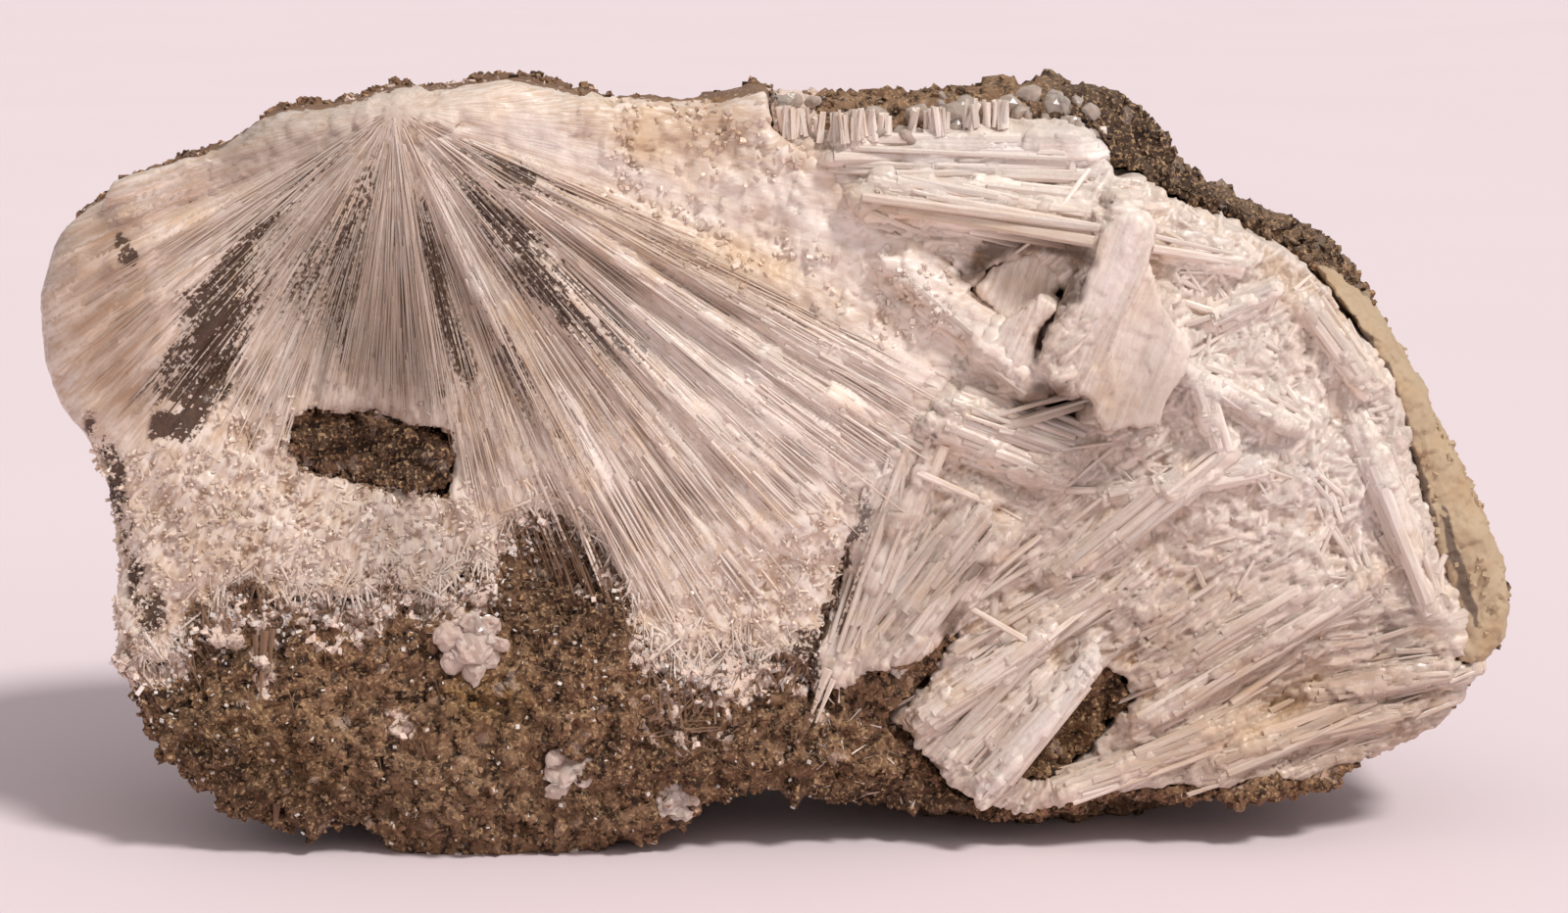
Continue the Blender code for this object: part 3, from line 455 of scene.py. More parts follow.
def rock_relief(co):
    """Height of the host rock's broken surface, which the other pieces' outer sides carry on."""
    rough = 0.9 * noise(co, 7.0, 31) + 0.9 * facets(co, 3.4, 32)
    rough += 1.3 * (0.3 - np.abs(noise(co, 2.4, 33))) + 0.8 * facets(co, 1.7, 34)
    rough += 0.4 * facets(co, 0.9, 35) - 0.2 - 0.3 * smooth_step(8.0, 22.0, co[:, 1])
    crest = smooth_step(66.0, 71.0, co[:, 2]) * smooth_step(0.0, -8.0, co[:, 1])
    crest *= smooth_step(-12.0, -3.0, co[:, 0]) * 0.6 + 0.4
    return rough * (1.0 - 0.55 * crest) - 0.4 * crest


def outer_share(co):
    """1 on the outer sides of the sprays, behind the crystal face."""
    return smooth_step(-14.0, -5.0, co[:, 1] + 2.5 * noise(co, 5.0, 49) + noise(co, 1.6, 50))


def rind_border(co):
    """1 where the rind thins out into the host rock, at its rear, upper and lower edges."""
    x, y, z = co.T
    ragged = 3.5 * noise(co, 5.0, 45) + 1.5 * noise(co, 1.6, 47)
    rear = smooth_step(4.0, 12.0, y + ragged)
    low = smooth_step(28.0, 21.0, z + ragged)
    high = smooth_step(55.0, 60.0, z + ragged)
    return np.maximum(np.maximum(rear, low), high) * smooth_step(-16.0, -9.0, y)


def paint_fields(mesh, is_rock):
    """Stores on a mesh where it is stained, tinted or rocky, where painted shade darkens it, and where it
    is whiter crystal or carries painted highlights.
    """
    count = len(mesh.vertices)
    co = np.empty(count * 3)
    mesh.vertices.foreach_get("co", co)
    co = co.reshape(-1, 3) / MM
    x, y, z = co.T
    wobble_x = x + 0.7 * noise(co, 2.2, 11) + 0.35 * noise(co, 0.9, 12)
    wobble_z = z + 0.7 * noise(co, 2.2, 13) + 0.35 * noise(co, 0.9, 14)
    front = 1.0 - smooth_step(-15.0, -6.0, y)
    fields = {key: np.zeros(count) for key in ("brown", "tan", "cream", "grey", "deep", "white")}
    for kind, strength, points in STROKES:
        mask = stroke_mask(wobble_x, wobble_z, points, kind not in ("brown", "deep"))
        fields[kind] = np.maximum(fields[kind], strength * mask)
    for key in ("brown", "cream", "grey", "deep", "white"):
        fields[key] *= front
    for key in ("brown", "cream", "grey"):
        fields[key] *= 1.0 - 0.7 * fields["white"]
    patchy = noise(co, 1.9, 19) + 0.6 * noise(co, 0.8, 20)
    fields["brown"] *= smooth_step(-1.1, -0.05, patchy)
    side = smooth_step(-62.0, -70.0, x) * (1.0 - front)
    fields["tan"] = np.maximum(fields["tan"] * front, 0.7 * side)
    above = z - edge_height(ROCK_EDGE, x)
    spread = 2.4 * noise(co, 3.4, 15) + 1.6 * noise(co, 1.3, 16)
    in_left = smooth_step(4.5, 2.0, x)
    rocky = smooth_step(1.4, -1.4, above + spread) * in_left
    whitish = smooth_step(-5.0, -0.6, above + 1.3 * spread) * in_left
    outer = smooth_step(-17.0, -12.0, y + 1.5 * noise(co, 3.0, 17)) * (1.0 - 0.8 * side)
    outer = np.maximum(outer, 1.3 * outer_share(co))
    top = smooth_step(66.0, 72.0, z) * smooth_step(-19.0, -16.5, y + 1.2 * noise(co, 2.0, 18))
    recess = in_outline(x + 0.5 * noise(co, 1.2, 24), z + 0.5 * noise(co, 1.2, 25), WINDOW)
    if is_rock:
        patches = {key: np.zeros(count) for key in ("dark", "ochre", "light", "white")}
        for kind, strength, points in ROCK_STROKES:
            mask = stroke_mask(wobble_x, wobble_z, points, kind != "white")
            patches[kind] = np.maximum(patches[kind], strength * mask * front)
        chalky = smooth_step(50.0, 62.0, x + 6.0 * noise(co, 6.0, 48)) * smooth_step(8.0, 22.0, z)
        patches["light"] = np.maximum(patches["light"], chalky * (1.0 - front) * (z < 64.0))
        window = stroke_mask(x, z, ((-48.0, 43.6, 4.0), (-37.0, 41.5, 4.0)), False)
        patches["white"] = np.maximum(patches["white"], 0.9 * whitish * front * (1.0 - window))
        pale_crust = (x > -3.0) * (x < 28.0) * (z > 73.5) * (y < 2.0)
        patches["light"] = np.maximum(patches["light"], 0.55 * pale_crust)
        first = np.stack((patches["dark"], patches["ochre"], patches["light"], patches["white"]), 1)
        crust = np.where(x > 27.0, smooth_step(-1.5, 0.5, z - edge_height(CRUST_EDGE, x)), 0.0)
        second = np.stack((crust, fields["deep"], front, np.ones(count)), 1)
    else:
        first = np.stack((fields["brown"], fields["tan"], fields["cream"], fields["grey"]), 1)
        rocky = np.maximum(rocky * front, np.maximum(0.85 * outer, 0.8 * top))
        rocky[recess] = 1.3
        # the second field carries painted shade in the cavity, and whiter crystal with painted highlights
        second = np.stack((rocky, fields["deep"], fields["white"], np.ones(count)), 1)
    for name, values in (("stain", first), ("cover", second)):
        attribute = mesh.attributes.new(name, "FLOAT_COLOR", "POINT")
        attribute.data.foreach_set("color", values.astype(np.float32).ravel())


def store_grain(mesh, values):
    """Stores the grain coordinates that the crystals' streaks follow, in millimetres."""
    attribute = mesh.attributes.get("grain") or mesh.attributes.new("grain", "FLOAT_VECTOR", "POINT")
    attribute.data.foreach_set("vector", values.astype(np.float32).ravel())


def add(tree, kind, inputs=None, **settings):
    """Adds a node with its settings, and with its inputs as values or as links."""
    node = tree.nodes.new(kind)
    for name, value in settings.items():
        setattr(node, name, value)
    for key, value in (inputs or {}).items():
        if isinstance(value, bpy.types.NodeSocket):
            tree.links.new(value, node.inputs[key])
        else:
            node.inputs[key].default_value = value
    return node


def start_material(name):
    """A new material with an empty tree, its shader and the two painted fields."""
    material = bpy.data.materials.new(name)
    material.use_nodes = True
    tree = material.node_tree
    tree.nodes.clear()
    shader = add(tree, "ShaderNodeBsdfPrincipled")
    add(tree, "ShaderNodeOutputMaterial", {"Surface": shader.outputs[0]})
    return material, tree, shader


def crystal_material(name, clean, roughness, subsurface, streaks):
    """Strontianite: silky white, translucent, with stains that follow its grain.

    streaks says how strongly the fibres show, from 0 to 1.
    """
    material, tree, shader = start_material(name)
    stain = add(tree, "ShaderNodeAttribute", attribute_name="stain")
    cover = add(tree, "ShaderNodeAttribute", attribute_name="cover")
    tone = add(tree, "ShaderNodeAttribute", attribute_name="tone").outputs["Fac"]
    grain = add(tree, "ShaderNodeAttribute", attribute_name="grain").outputs["Vector"]
    spot = add(tree, "ShaderNodeTexCoord").outputs["Object"]
    parts = add(tree, "ShaderNodeSeparateColor", {0: stain.outputs["Color"]})
    brown, tan, cream = parts.outputs
    grey = stain.outputs["Alpha"]
    covers = add(tree, "ShaderNodeSeparateColor", {0: cover.outputs["Color"]})
    rocky, deep, white_and_highlight = covers.outputs
    painted_crevice_shade = add(tree, "ShaderNodeAttribute", attribute_name="painted_crevice_shade").outputs["Fac"]

    # fibre streaks about 0.3 mm wide, shifted from crystal to crystal
    shift = add(tree, "ShaderNodeVectorMath", {0: grain, 1: tone}, operation="ADD").outputs[0]
    fine = add(tree, "ShaderNodeTexNoise", {"Vector": shift, "Scale": 3.0, "Detail": 3.0}).outputs[0]
    wide = add(tree, "ShaderNodeTexNoise", {"Vector": shift, "Scale": 0.8, "Detail": 2.0}).outputs[0]
    # clouds about 4 mm across and speckle about 0.5 mm across
    cloud = add(tree, "ShaderNodeTexNoise", {"Vector": spot, "Scale": 260.0, "Detail": 3.0}).outputs[0]
    speck = add(tree, "ShaderNodeTexNoise", {"Vector": spot, "Scale": 2200.0, "Detail": 3.0}).outputs[0]

    shade = add(
        tree, "ShaderNodeMapRange",
        {0: fine, 1: 0.38, 2: 0.66, 3: 0.0, 4: 0.25 + 0.45 * streaks},
        interpolation_type="SMOOTHSTEP",
    ).outputs[0]
    colour = add(
        tree, "ShaderNodeMix", {0: shade, 6: clean, 7: linear("#C8A88D")}, data_type="RGBA"
    ).outputs[2]
    warm = add(
        tree, "ShaderNodeMapRange", {0: cloud, 1: 0.5, 2: 0.75, 3: 0.0, 4: 0.45}
    ).outputs[0]
    colour = add(
        tree, "ShaderNodeMix", {0: warm, 6: colour, 7: linear("#E2BF99")}, data_type="RGBA"
    ).outputs[2]
    grey_share = add(tree, "ShaderNodeMath", {0: grey, 1: 0.95}, operation="MULTIPLY").outputs[0]
    colour = add(
        tree, "ShaderNodeMix", {0: grey_share, 6: colour, 7: linear("#75635B")}, data_type="RGBA"
    ).outputs[2]
    tan_streak = add(
        tree, "ShaderNodeMapRange", {0: wide, 1: 0.3, 2: 0.7, 3: 0.45, 4: 1.15}
    ).outputs[0]
    tan_share = add(
        tree, "ShaderNodeMath", {0: tan, 1: tan_streak}, operation="MULTIPLY", use_clamp=True
    ).outputs[0]
    colour = add(
        tree, "ShaderNodeMix", {0: tan_share, 6: colour, 7: linear("#9E7A5F")}, data_type="RGBA"
    ).outputs[2]
    cream_share = add(tree, "ShaderNodeMath", {0: cream, 1: 0.8}, operation="MULTIPLY").outputs[0]
    colour = add(
        tree, "ShaderNodeMix", {0: cream_share, 6: colour, 7: linear("#D9B283")}, data_type="RGBA"
    ).outputs[2]

    # brown dust lies between the fibres: streaks and specks decide where a stain shows
    dust = add(tree, "ShaderNodeMath", {0: wide, 1: speck}, operation="ADD").outputs[0]
    dust = add(tree, "ShaderNodeMath", {0: dust, 1: -1.0}, operation="ADD").outputs[0]
    stained = add(
        tree, "ShaderNodeMath", {0: dust, 1: 3.4, 2: brown}, operation="MULTIPLY_ADD"
    ).outputs[0]
    present = add(tree, "ShaderNodeMapRange", {0: brown, 1: 0.02, 2: 0.3}).outputs[0]
    stained = add(
        tree, "ShaderNodeMapRange", {0: stained, 1: 0.26, 2: 0.62}, interpolation_type="SMOOTHSTEP"
    ).outputs[0]
    stained = add(tree, "ShaderNodeMath", {0: stained, 1: present}, operation="MULTIPLY").outputs[0]
    earth = add(
        tree, "ShaderNodeMix", {0: speck, 6: linear("#22130C"), 7: linear("#6E4F3B")}, data_type="RGBA"
    ).outputs[2]
    colour = add(
        tree, "ShaderNodeMix", {0: stained, 6: colour, 7: earth}, data_type="RGBA"
    ).outputs[2]

    rock_share = add(tree, "ShaderNodeMath", {0: speck, 1: -0.5}, operation="ADD").outputs[0]
    rock_share = add(
        tree, "ShaderNodeMath", {0: rock_share, 1: 1.6, 2: rocky}, operation="MULTIPLY_ADD"
    ).outputs[0]
    rock_share = add(
        tree, "ShaderNodeMapRange", {0: rock_share, 1: 0.35, 2: 0.7}, interpolation_type="SMOOTHSTEP"
    ).outputs[0]
    rock = add(
        tree, "ShaderNodeMix", {0: cloud, 6: linear("#5E4331"), 7: linear("#96735A")}, data_type="RGBA"
    ).outputs[2]
    colour = add(tree, "ShaderNodeMix", {0: rock_share, 6: colour, 7: rock}, data_type="RGBA").outputs[2]
    # painted shadow in the cavity
    deep_share = add(tree, "ShaderNodeMath", {0: deep, 1: 0.85}, operation="MULTIPLY").outputs[0]
    colour = add(
        tree, "ShaderNodeMix", {0: deep_share, 6: colour, 7: linear("#5A3C22")}, data_type="RGBA"
    ).outputs[2]
    # painted shade in the crevices between crystals
    painted_crevice_shade_share = add(tree, "ShaderNodeMath", {0: painted_crevice_shade, 1: 0.6}, operation="MULTIPLY").outputs[0]
    colour = add(
        tree, "ShaderNodeMix", {0: painted_crevice_shade_share, 6: colour, 7: linear("#B58A5C")}, data_type="RGBA"
    ).outputs[2]
    # whiter crystal and painted highlights
    white_and_highlight_share = add(tree, "ShaderNodeMath", {0: white_and_highlight, 1: 0.75}, operation="MULTIPLY").outputs[0]
    colour = add(
        tree, "ShaderNodeMix", {0: white_and_highlight_share, 6: colour, 7: linear("#FBEEE6")}, data_type="RGBA"
    ).outputs[2]
    brightness = add(
        tree, "ShaderNodeMapRange", {0: tone, 1: 0.0, 2: 1.0, 3: 0.80, 4: 1.08}, clamp=False
    ).outputs[0]
    colour = add(
        tree, "ShaderNodeMix", {0: 1.0, 6: colour, 7: brightness}, data_type="RGBA", blend_type="MULTIPLY"
    ).outputs[2]
    tree.links.new(colour, shader.inputs["Base Color"])

    gloss = add(
        tree, "ShaderNodeMapRange", {0: fine, 1: 0.3, 2: 0.7, 3: roughness - 0.12, 4: roughness + 0.15}
    ).outputs[0]
    gloss = add(
        tree, "ShaderNodeMix", {0: rock_share, 2: gloss, 3: 0.9}, data_type="FLOAT"
    ).outputs[0]
    tree.links.new(gloss, shader.inputs["Roughness"])
    relief = add(tree, "ShaderNodeMath", {0: fine, 1: speck}, operation="ADD").outputs[0]
    bump = add(
        tree, "ShaderNodeBump", {"Height": relief, "Strength": 0.6, "Distance": 0.12 * MM}
    ).outputs[0]
    tree.links.new(bump, shader.inputs["Normal"])
    shader.inputs["IOR"].default_value = 1.52
    shader.inputs["Subsurface Weight"].default_value = subsurface
    shader.inputs["Subsurface Radius"].default_value = (1.0, 0.8, 0.7)
    shader.inputs["Subsurface Scale"].default_value = 1.5 * MM
    return material


def rock_material(name, main):
    """Limestone host rock: brown-grey and gritty, with painted shade in its pits, ochre and white crystal
    dust.
    """
    material, tree, shader = start_material(name)
    stain = add(tree, "ShaderNodeAttribute", attribute_name="stain")
    cover = add(tree, "ShaderNodeAttribute", attribute_name="cover")
    tone = add(tree, "ShaderNodeAttribute", attribute_name="tone").outputs["Fac"]
    spot = add(tree, "ShaderNodeTexCoord").outputs["Object"]
    parts = add(tree, "ShaderNodeSeparateColor", {0: stain.outputs["Color"]})
    dark, ochre, light = parts.outputs
    white = stain.outputs["Alpha"]
    crust = add(tree, "ShaderNodeSeparateColor", {0: cover.outputs["Color"]}).outputs[0]

    # grit about 0.5 mm, grains about 1.5 mm and clouds about 6 mm across
    grit = add(tree, "ShaderNodeTexNoise", {"Vector": spot, "Scale": 2400.0, "Detail": 4.0}).outputs[0]
    grains = add(tree, "ShaderNodeTexNoise", {"Vector": spot, "Scale": 720.0, "Detail": 4.0}).outputs[0]
    cloud = add(tree, "ShaderNodeTexNoise", {"Vector": spot, "Scale": 170.0, "Detail": 3.0}).outputs[0]
    cells = add(
        tree, "ShaderNodeTexVoronoi", {"Vector": spot, "Scale": 900.0}, feature="F1"
    ).outputs["Color"]
    cell_value = add(tree, "ShaderNodeSeparateColor", {0: cells}).outputs[0]

    base = add(
        tree, "ShaderNodeMix", {0: cloud, 6: linear("#74503A"), 7: main}, data_type="RGBA"
    ).outputs[2]
    light_share = add(tree, "ShaderNodeMath", {0: light, 1: 0.75}, operation="MULTIPLY").outputs[0]
    base = add(
        tree, "ShaderNodeMix", {0: light_share, 6: base, 7: linear("#97795F")}, data_type="RGBA"
    ).outputs[2]
    ochre_share = add(tree, "ShaderNodeMath", {0: ochre, 1: 0.7}, operation="MULTIPLY").outputs[0]
    base = add(
        tree, "ShaderNodeMix", {0: ochre_share, 6: base, 7: linear("#8A6A38")}, data_type="RGBA"
    ).outputs[2]
    crust_share = add(tree, "ShaderNodeMath", {0: crust, 1: 0.7}, operation="MULTIPLY").outputs[0]
    base = add(
        tree, "ShaderNodeMix", {0: crust_share, 6: base, 7: linear("#705C4C")}, data_type="RGBA"
    ).outputs[2]
    # dark patches: dark rock, and painted shade in a hollow, on the lower left and under the lower ledge
    dark_share = add(tree, "ShaderNodeMath", {0: dark, 1: 0.8}, operation="MULTIPLY").outputs[0]
    base = add(
        tree, "ShaderNodeMix", {0: dark_share, 6: base, 7: linear("#33221A")}, data_type="RGBA"
    ).outputs[2]
    # painted shade in the pits, where the bump sinks
    painted_pit_shade = add(
        tree, "ShaderNodeMapRange", {0: grains, 1: 0.38, 2: 0.50, 3: 0.9, 4: 0.0}
    ).outputs[0]
    base = add(
        tree, "ShaderNodeMix", {0: painted_pit_shade, 6: base, 7: linear("#2A1A12")}, data_type="RGBA"
    ).outputs[2]
    pale = add(
        tree, "ShaderNodeMapRange", {0: grit, 1: 0.53, 2: 0.63, 3: 0.0, 4: 0.8}
    ).outputs[0]
    base = add(
        tree, "ShaderNodeMix", {0: pale, 6: base, 7: linear("#B8956F")}, data_type="RGBA"
    ).outputs[2]

    # crystal dust: grains of white, thick near the crystals and thin elsewhere
    dust = add(tree, "ShaderNodeMath", {0: cell_value, 1: -0.5}, operation="ADD").outputs[0]
    dust = add(
        tree, "ShaderNodeMath", {0: dust, 1: 0.9, 2: white}, operation="MULTIPLY_ADD"
    ).outputs[0]
    dust = add(tree, "ShaderNodeMapRange", {0: dust, 1: 0.40, 2: 0.58}).outputs[0]
    base = add(
        tree, "ShaderNodeMix", {0: dust, 6: base, 7: linear("#E2C9BA")}, data_type="RGBA"
    ).outputs[2]
    brightness = add(
        tree, "ShaderNodeMapRange", {0: tone, 1: 0.0, 2: 1.0, 3: 0.7, 4: 1.3}, clamp=False
    ).outputs[0]
    base = add(
        tree, "ShaderNodeMix", {0: 1.0, 6: base, 7: brightness}, data_type="RGBA", blend_type="MULTIPLY"
    ).outputs[2]
    tree.links.new(base, shader.inputs["Base Color"])
    relief = add(tree, "ShaderNodeMath", {0: grit, 1: grains}, operation="ADD").outputs[0]
    bump = add(
        tree, "ShaderNodeBump", {"Height": relief, "Strength": 0.9, "Distance": 0.35 * MM}
    ).outputs[0]
    tree.links.new(bump, shader.inputs["Normal"])
    shader.inputs["Roughness"].default_value = 0.88
    shader.inputs["Specular IOR Level"].default_value = 0.35
    return material


def rind_material(name, main):
    """Weathered calcite rind: chalky cream, with a grey layer inside it."""
    material, tree, shader = start_material(name)
    spot = add(tree, "ShaderNodeTexCoord").outputs["Object"]
    layer = add(tree, "ShaderNodeAttribute", attribute_name="layer").outputs["Fac"]
    grit = add(tree, "ShaderNodeTexNoise", {"Vector": spot, "Scale": 1500.0, "Detail": 4.0}).outputs[0]
    cloud = add(tree, "ShaderNodeTexNoise", {"Vector": spot, "Scale": 220.0, "Detail": 3.0}).outputs[0]
    colour = add(
        tree, "ShaderNodeMix", {0: cloud, 6: main, 7: linear("#C3A98A")}, data_type="RGBA"
    ).outputs[2]
    stain = add(tree, "ShaderNodeMapRange", {0: cloud, 1: 0.5, 2: 0.7, 3: 0.0, 4: 0.5}).outputs[0]
    colour = add(
        tree, "ShaderNodeMix", {0: stain, 6: colour, 7: linear("#A9855C")}, data_type="RGBA"
    ).outputs[2]
    edge = add(tree, "ShaderNodeMath", {0: grit, 1: 0.6, 2: layer}, operation="MULTIPLY_ADD").outputs[0]
    edge = add(tree, "ShaderNodeMapRange", {0: edge, 1: 0.55, 2: 0.95}).outputs[0]
    colour = add(
        tree, "ShaderNodeMix", {0: edge, 6: colour, 7: linear("#6E5B4C")}, data_type="RGBA"
    ).outputs[2]
    tree.links.new(colour, shader.inputs["Base Color"])
    bump = add(
        tree, "ShaderNodeBump", {"Height": grit, "Strength": 0.5, "Distance": 0.2 * MM}
    ).outputs[0]
    tree.links.new(bump, shader.inputs["Normal"])
    shader.inputs["Roughness"].default_value = 0.7
    return material


def clear_material(name, tint, share):
    """Clear to milky crystal: light passes through its thin edges."""
    material, tree, shader = start_material(name)
    spot = add(tree, "ShaderNodeTexCoord").outputs["Object"]
    cloud = add(tree, "ShaderNodeTexNoise", {"Vector": spot, "Scale": 900.0, "Detail": 3.0}).outputs[0]
    colour = add(
        tree, "ShaderNodeMix", {0: cloud, 6: tint, 7: linear("#EBD6CA")}, data_type="RGBA"
    ).outputs[2]
    tree.links.new(colour, shader.inputs["Base Color"])
    bump = add(
        tree, "ShaderNodeBump", {"Height": cloud, "Strength": 0.4, "Distance": 0.15 * MM}
    ).outputs[0]
    tree.links.new(bump, shader.inputs["Normal"])
    shader.inputs["Roughness"].default_value = 0.22
    shader.inputs["IOR"].default_value = 1.52
    shader.inputs["Transmission Weight"].default_value = share
    shader.inputs["Subsurface Weight"].default_value = 0.4
    shader.inputs["Subsurface Radius"].default_value = (1.0, 0.9, 0.85)
    shader.inputs["Subsurface Scale"].default_value = 1.5 * MM
    return material


def finish_piece(name, mesh, material, slot, *nodes):
    """Links a finished mesh as a piece that rides on the specimen and stands for the given nodes."""
    mesh.name = name
    if material is not None:
        mesh.materials.clear()
        mesh.materials.append(material)
    piece = bpy.data.objects.new(name, mesh)
    bpy.context.scene.collection.objects.link(piece)
    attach(piece, "root")
    if nodes:
        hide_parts(*nodes)
    return piece


def evaluated_mesh(obj):
    """The plain mesh of an object with its modifiers."""
    graph = bpy.context.evaluated_depsgraph_get()
    mesh = bpy.data.meshes.new_from_object(obj.evaluated_get(graph))
    old = obj.data
    bpy.data.objects.remove(obj)
    if old.users == 0:
        bpy.data.meshes.remove(old)
    return mesh


def skin(node, voxel, smoothing):
    """A fine, even copy of a solid's surface, in metres."""
    mesh = bmesh.new()
    mesh.from_mesh(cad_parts[node].data)
    bmesh.ops.remove_doubles(mesh, verts=mesh.verts, dist=1e-6)
    data = bpy.data.meshes.new(node + "_skin")
    mesh.to_mesh(data)
    mesh.free()
    data.materials.clear()
    obj = bpy.data.objects.new(node + "_skin", data)
    bpy.context.scene.collection.objects.link(obj)
    remesh = obj.modifiers.new("remesh", "REMESH")
    remesh.mode = "VOXEL"
    remesh.voxel_size = voxel * MM
    remesh.use_smooth_shade = True
    soften = obj.modifiers.new("soften", "SMOOTH")
    soften.factor = 0.5
    soften.iterations = smoothing
    data = evaluated_mesh(obj)
    mesh = bmesh.new()
    mesh.from_mesh(data)
    front = [
        f for f in mesh.faces if f.normal.y < -0.25 and f.calc_center_median().y < -11.0 * MM
    ]
    edges = list({e for f in front for e in f.edges})
    bmesh.ops.subdivide_edges(mesh, edges=edges, cuts=1, use_grid_fill=True)
    mesh.to_mesh(data)
    mesh.free()
    data.polygons.foreach_set("use_smooth", [True] * len(data.polygons))
    return data


def coordinates(mesh):
    """A mesh's points and normals, in millimetres."""
    co = np.empty(len(mesh.vertices) * 3)
    mesh.vertices.foreach_get("co", co)
    normals = np.empty(len(mesh.vertices) * 3)
    mesh.vertex_normals.foreach_get("vector", normals)
    return co.reshape(-1, 3) / MM, normals.reshape(-1, 3)


def move(mesh, co):
    """Moves a mesh's points to co, in millimetres, and keeps its feet on the floor."""
    co[:, 2] = np.maximum(co[:, 2], 0.0)
    mesh.vertices.foreach_set("co", (co * MM).ravel())
    mesh.update()


def pile(x, z, laths):
    """Height, grain coordinates and tone where laths lie on a face: the highest one shows.

    A lath is its middle x and z, angle, length, width, height, slope across it and tone.
    """
    height = np.full(len(x), -1e9)
    grain = np.zeros((len(x), 3))
    tone = np.full(len(x), 0.5)
    order = np.argsort(x)
    ordered = x[order]
    for cx, cz, angle, length, width, top, slope, shade in laths:
        reach = (abs(math.cos(angle)) * length + abs(math.sin(angle)) * width) / 2
        low, high = np.searchsorted(ordered, (cx - reach, cx + reach))
        near = order[low:high]
        dx, dz = x[near] - cx, z[near] - cz
        along = dx * math.cos(angle) + dz * math.sin(angle)
        across = dz * math.cos(angle) - dx * math.sin(angle)
        inside = (np.abs(along) < length / 2) & (np.abs(across) < width / 2)
        near, along, across = near[inside], along[inside], across[inside]
        rounded = top + slope * across - 0.25 * width * (2.0 * np.abs(across) / width) ** 4
        higher = rounded > height[near]
        near = near[higher]
        height[near] = rounded[higher]
        grain[near] = np.stack((across[higher], rounded[higher] * 0.2, along[higher] * ALONG), 1)
        grain[near] += GRAIN_SHIFT * shade
        tone[near] = shade
    return height, grain, tone


SURFACES = {}


def remember_surface(name, mesh):
    """Keeps a surface that crystals and crumbs are laid on."""
    vertices = [v.co.copy() for v in mesh.vertices]
    polygons = [tuple(p.vertices) for p in mesh.polygons]
    SURFACES[name] = BVHTree.FromPolygons(vertices, polygons)


def on_face(x, z):
    """The frontmost surface at (x, z) in millimetres: its point and normal, or None."""
    best = None
    for tree in SURFACES.values():
        hit, normal, _, _ = tree.ray_cast(Vector((x * MM, RAY_START_Y, z * MM)), INWARD)
        if hit is not None and (best is None or hit.y < best[0].y):
            best = (hit, normal)
    if best is None:
        return None
    return best[0] / MM, best[1]


def laid(start, end, width, thickness, lift, roll, tone):
    """One crystal on the face from start to end, as place, turn, size and tone, or None off its edge."""
    first, last = on_face(*start), on_face(*end)
    if first is None or last is None:
        return None
    a, b = first[0].copy(), last[0].copy()
    if abs(a.y - b.y) > 0.7 * math.hypot(a.x - b.x, a.z - b.z) + 1.0:
        return None
    a.y -= lift
    b.y -= lift
    along = (b - a).normalized()
    across = along.cross(INWARD).normalized()
    out = along.cross(across)
    turn = Matrix((across, out, along)).transposed() @ Matrix.Rotation(roll, 3, "Z")
    return (a + b) / 2, turn.to_euler(), (width / 2, thickness / 2, (b - a).length), tone


def crystal_tree(name, material):
    """A node tree that sets a six-sided crystal on each point, turned and sized by its attributes."""
    tree = bpy.data.node_groups.new(name, "GeometryNodeTree")
    tree.interface.new_socket("Geometry", in_out="INPUT", socket_type="NodeSocketGeometry")
    sides = tree.interface.new_socket("Sides", in_out="INPUT", socket_type="NodeSocketInt")
    sides.default_value = 6
    tip = tree.interface.new_socket("Tip", in_out="INPUT", socket_type="NodeSocketFloat")
    tip.default_value = 0.6
    tree.interface.new_socket("Geometry", in_out="OUTPUT", socket_type="NodeSocketGeometry")
    given = add(tree, "NodeGroupInput")
    cone = add(
        tree, "GeometryNodeMeshCone",
        {
            "Vertices": given.outputs["Sides"], "Radius Top": given.outputs["Tip"],
            "Radius Bottom": 1.0, "Depth": 1.0,
        },
        fill_type="NGON",
    )
    middle = add(
        tree, "GeometryNodeTransform", {"Geometry": cone.outputs["Mesh"], "Translation": (0.0, 0.0, -0.5)}
    )
    place = add(tree, "GeometryNodeInputPosition")
    own = add(
        tree, "GeometryNodeStoreNamedAttribute",
        {"Geometry": middle.outputs[0], "Name": "own", "Value": place.outputs[0]},
        data_type="FLOAT_VECTOR", domain="POINT",
    )
    turn = add(tree, "GeometryNodeInputNamedAttribute", {"Name": "turn"}, data_type="FLOAT_VECTOR")
    size = add(tree, "GeometryNodeInputNamedAttribute", {"Name": "size"}, data_type="FLOAT_VECTOR")
    rotation = add(tree, "FunctionNodeEulerToRotation", {0: turn.outputs[0]})
    crystals = add(
        tree, "GeometryNodeInstanceOnPoints",
        {
            "Points": given.outputs["Geometry"], "Instance": own.outputs[0],
            "Rotation": rotation.outputs[0], "Scale": size.outputs[0],
        },
    )
    real = add(tree, "GeometryNodeRealizeInstances", {0: crystals.outputs[0]})
    finished = add(tree, "GeometryNodeSetMaterial", {0: real.outputs[0], "Material": material})
    add(tree, "NodeGroupOutput", {0: finished.outputs[0]})
    return tree


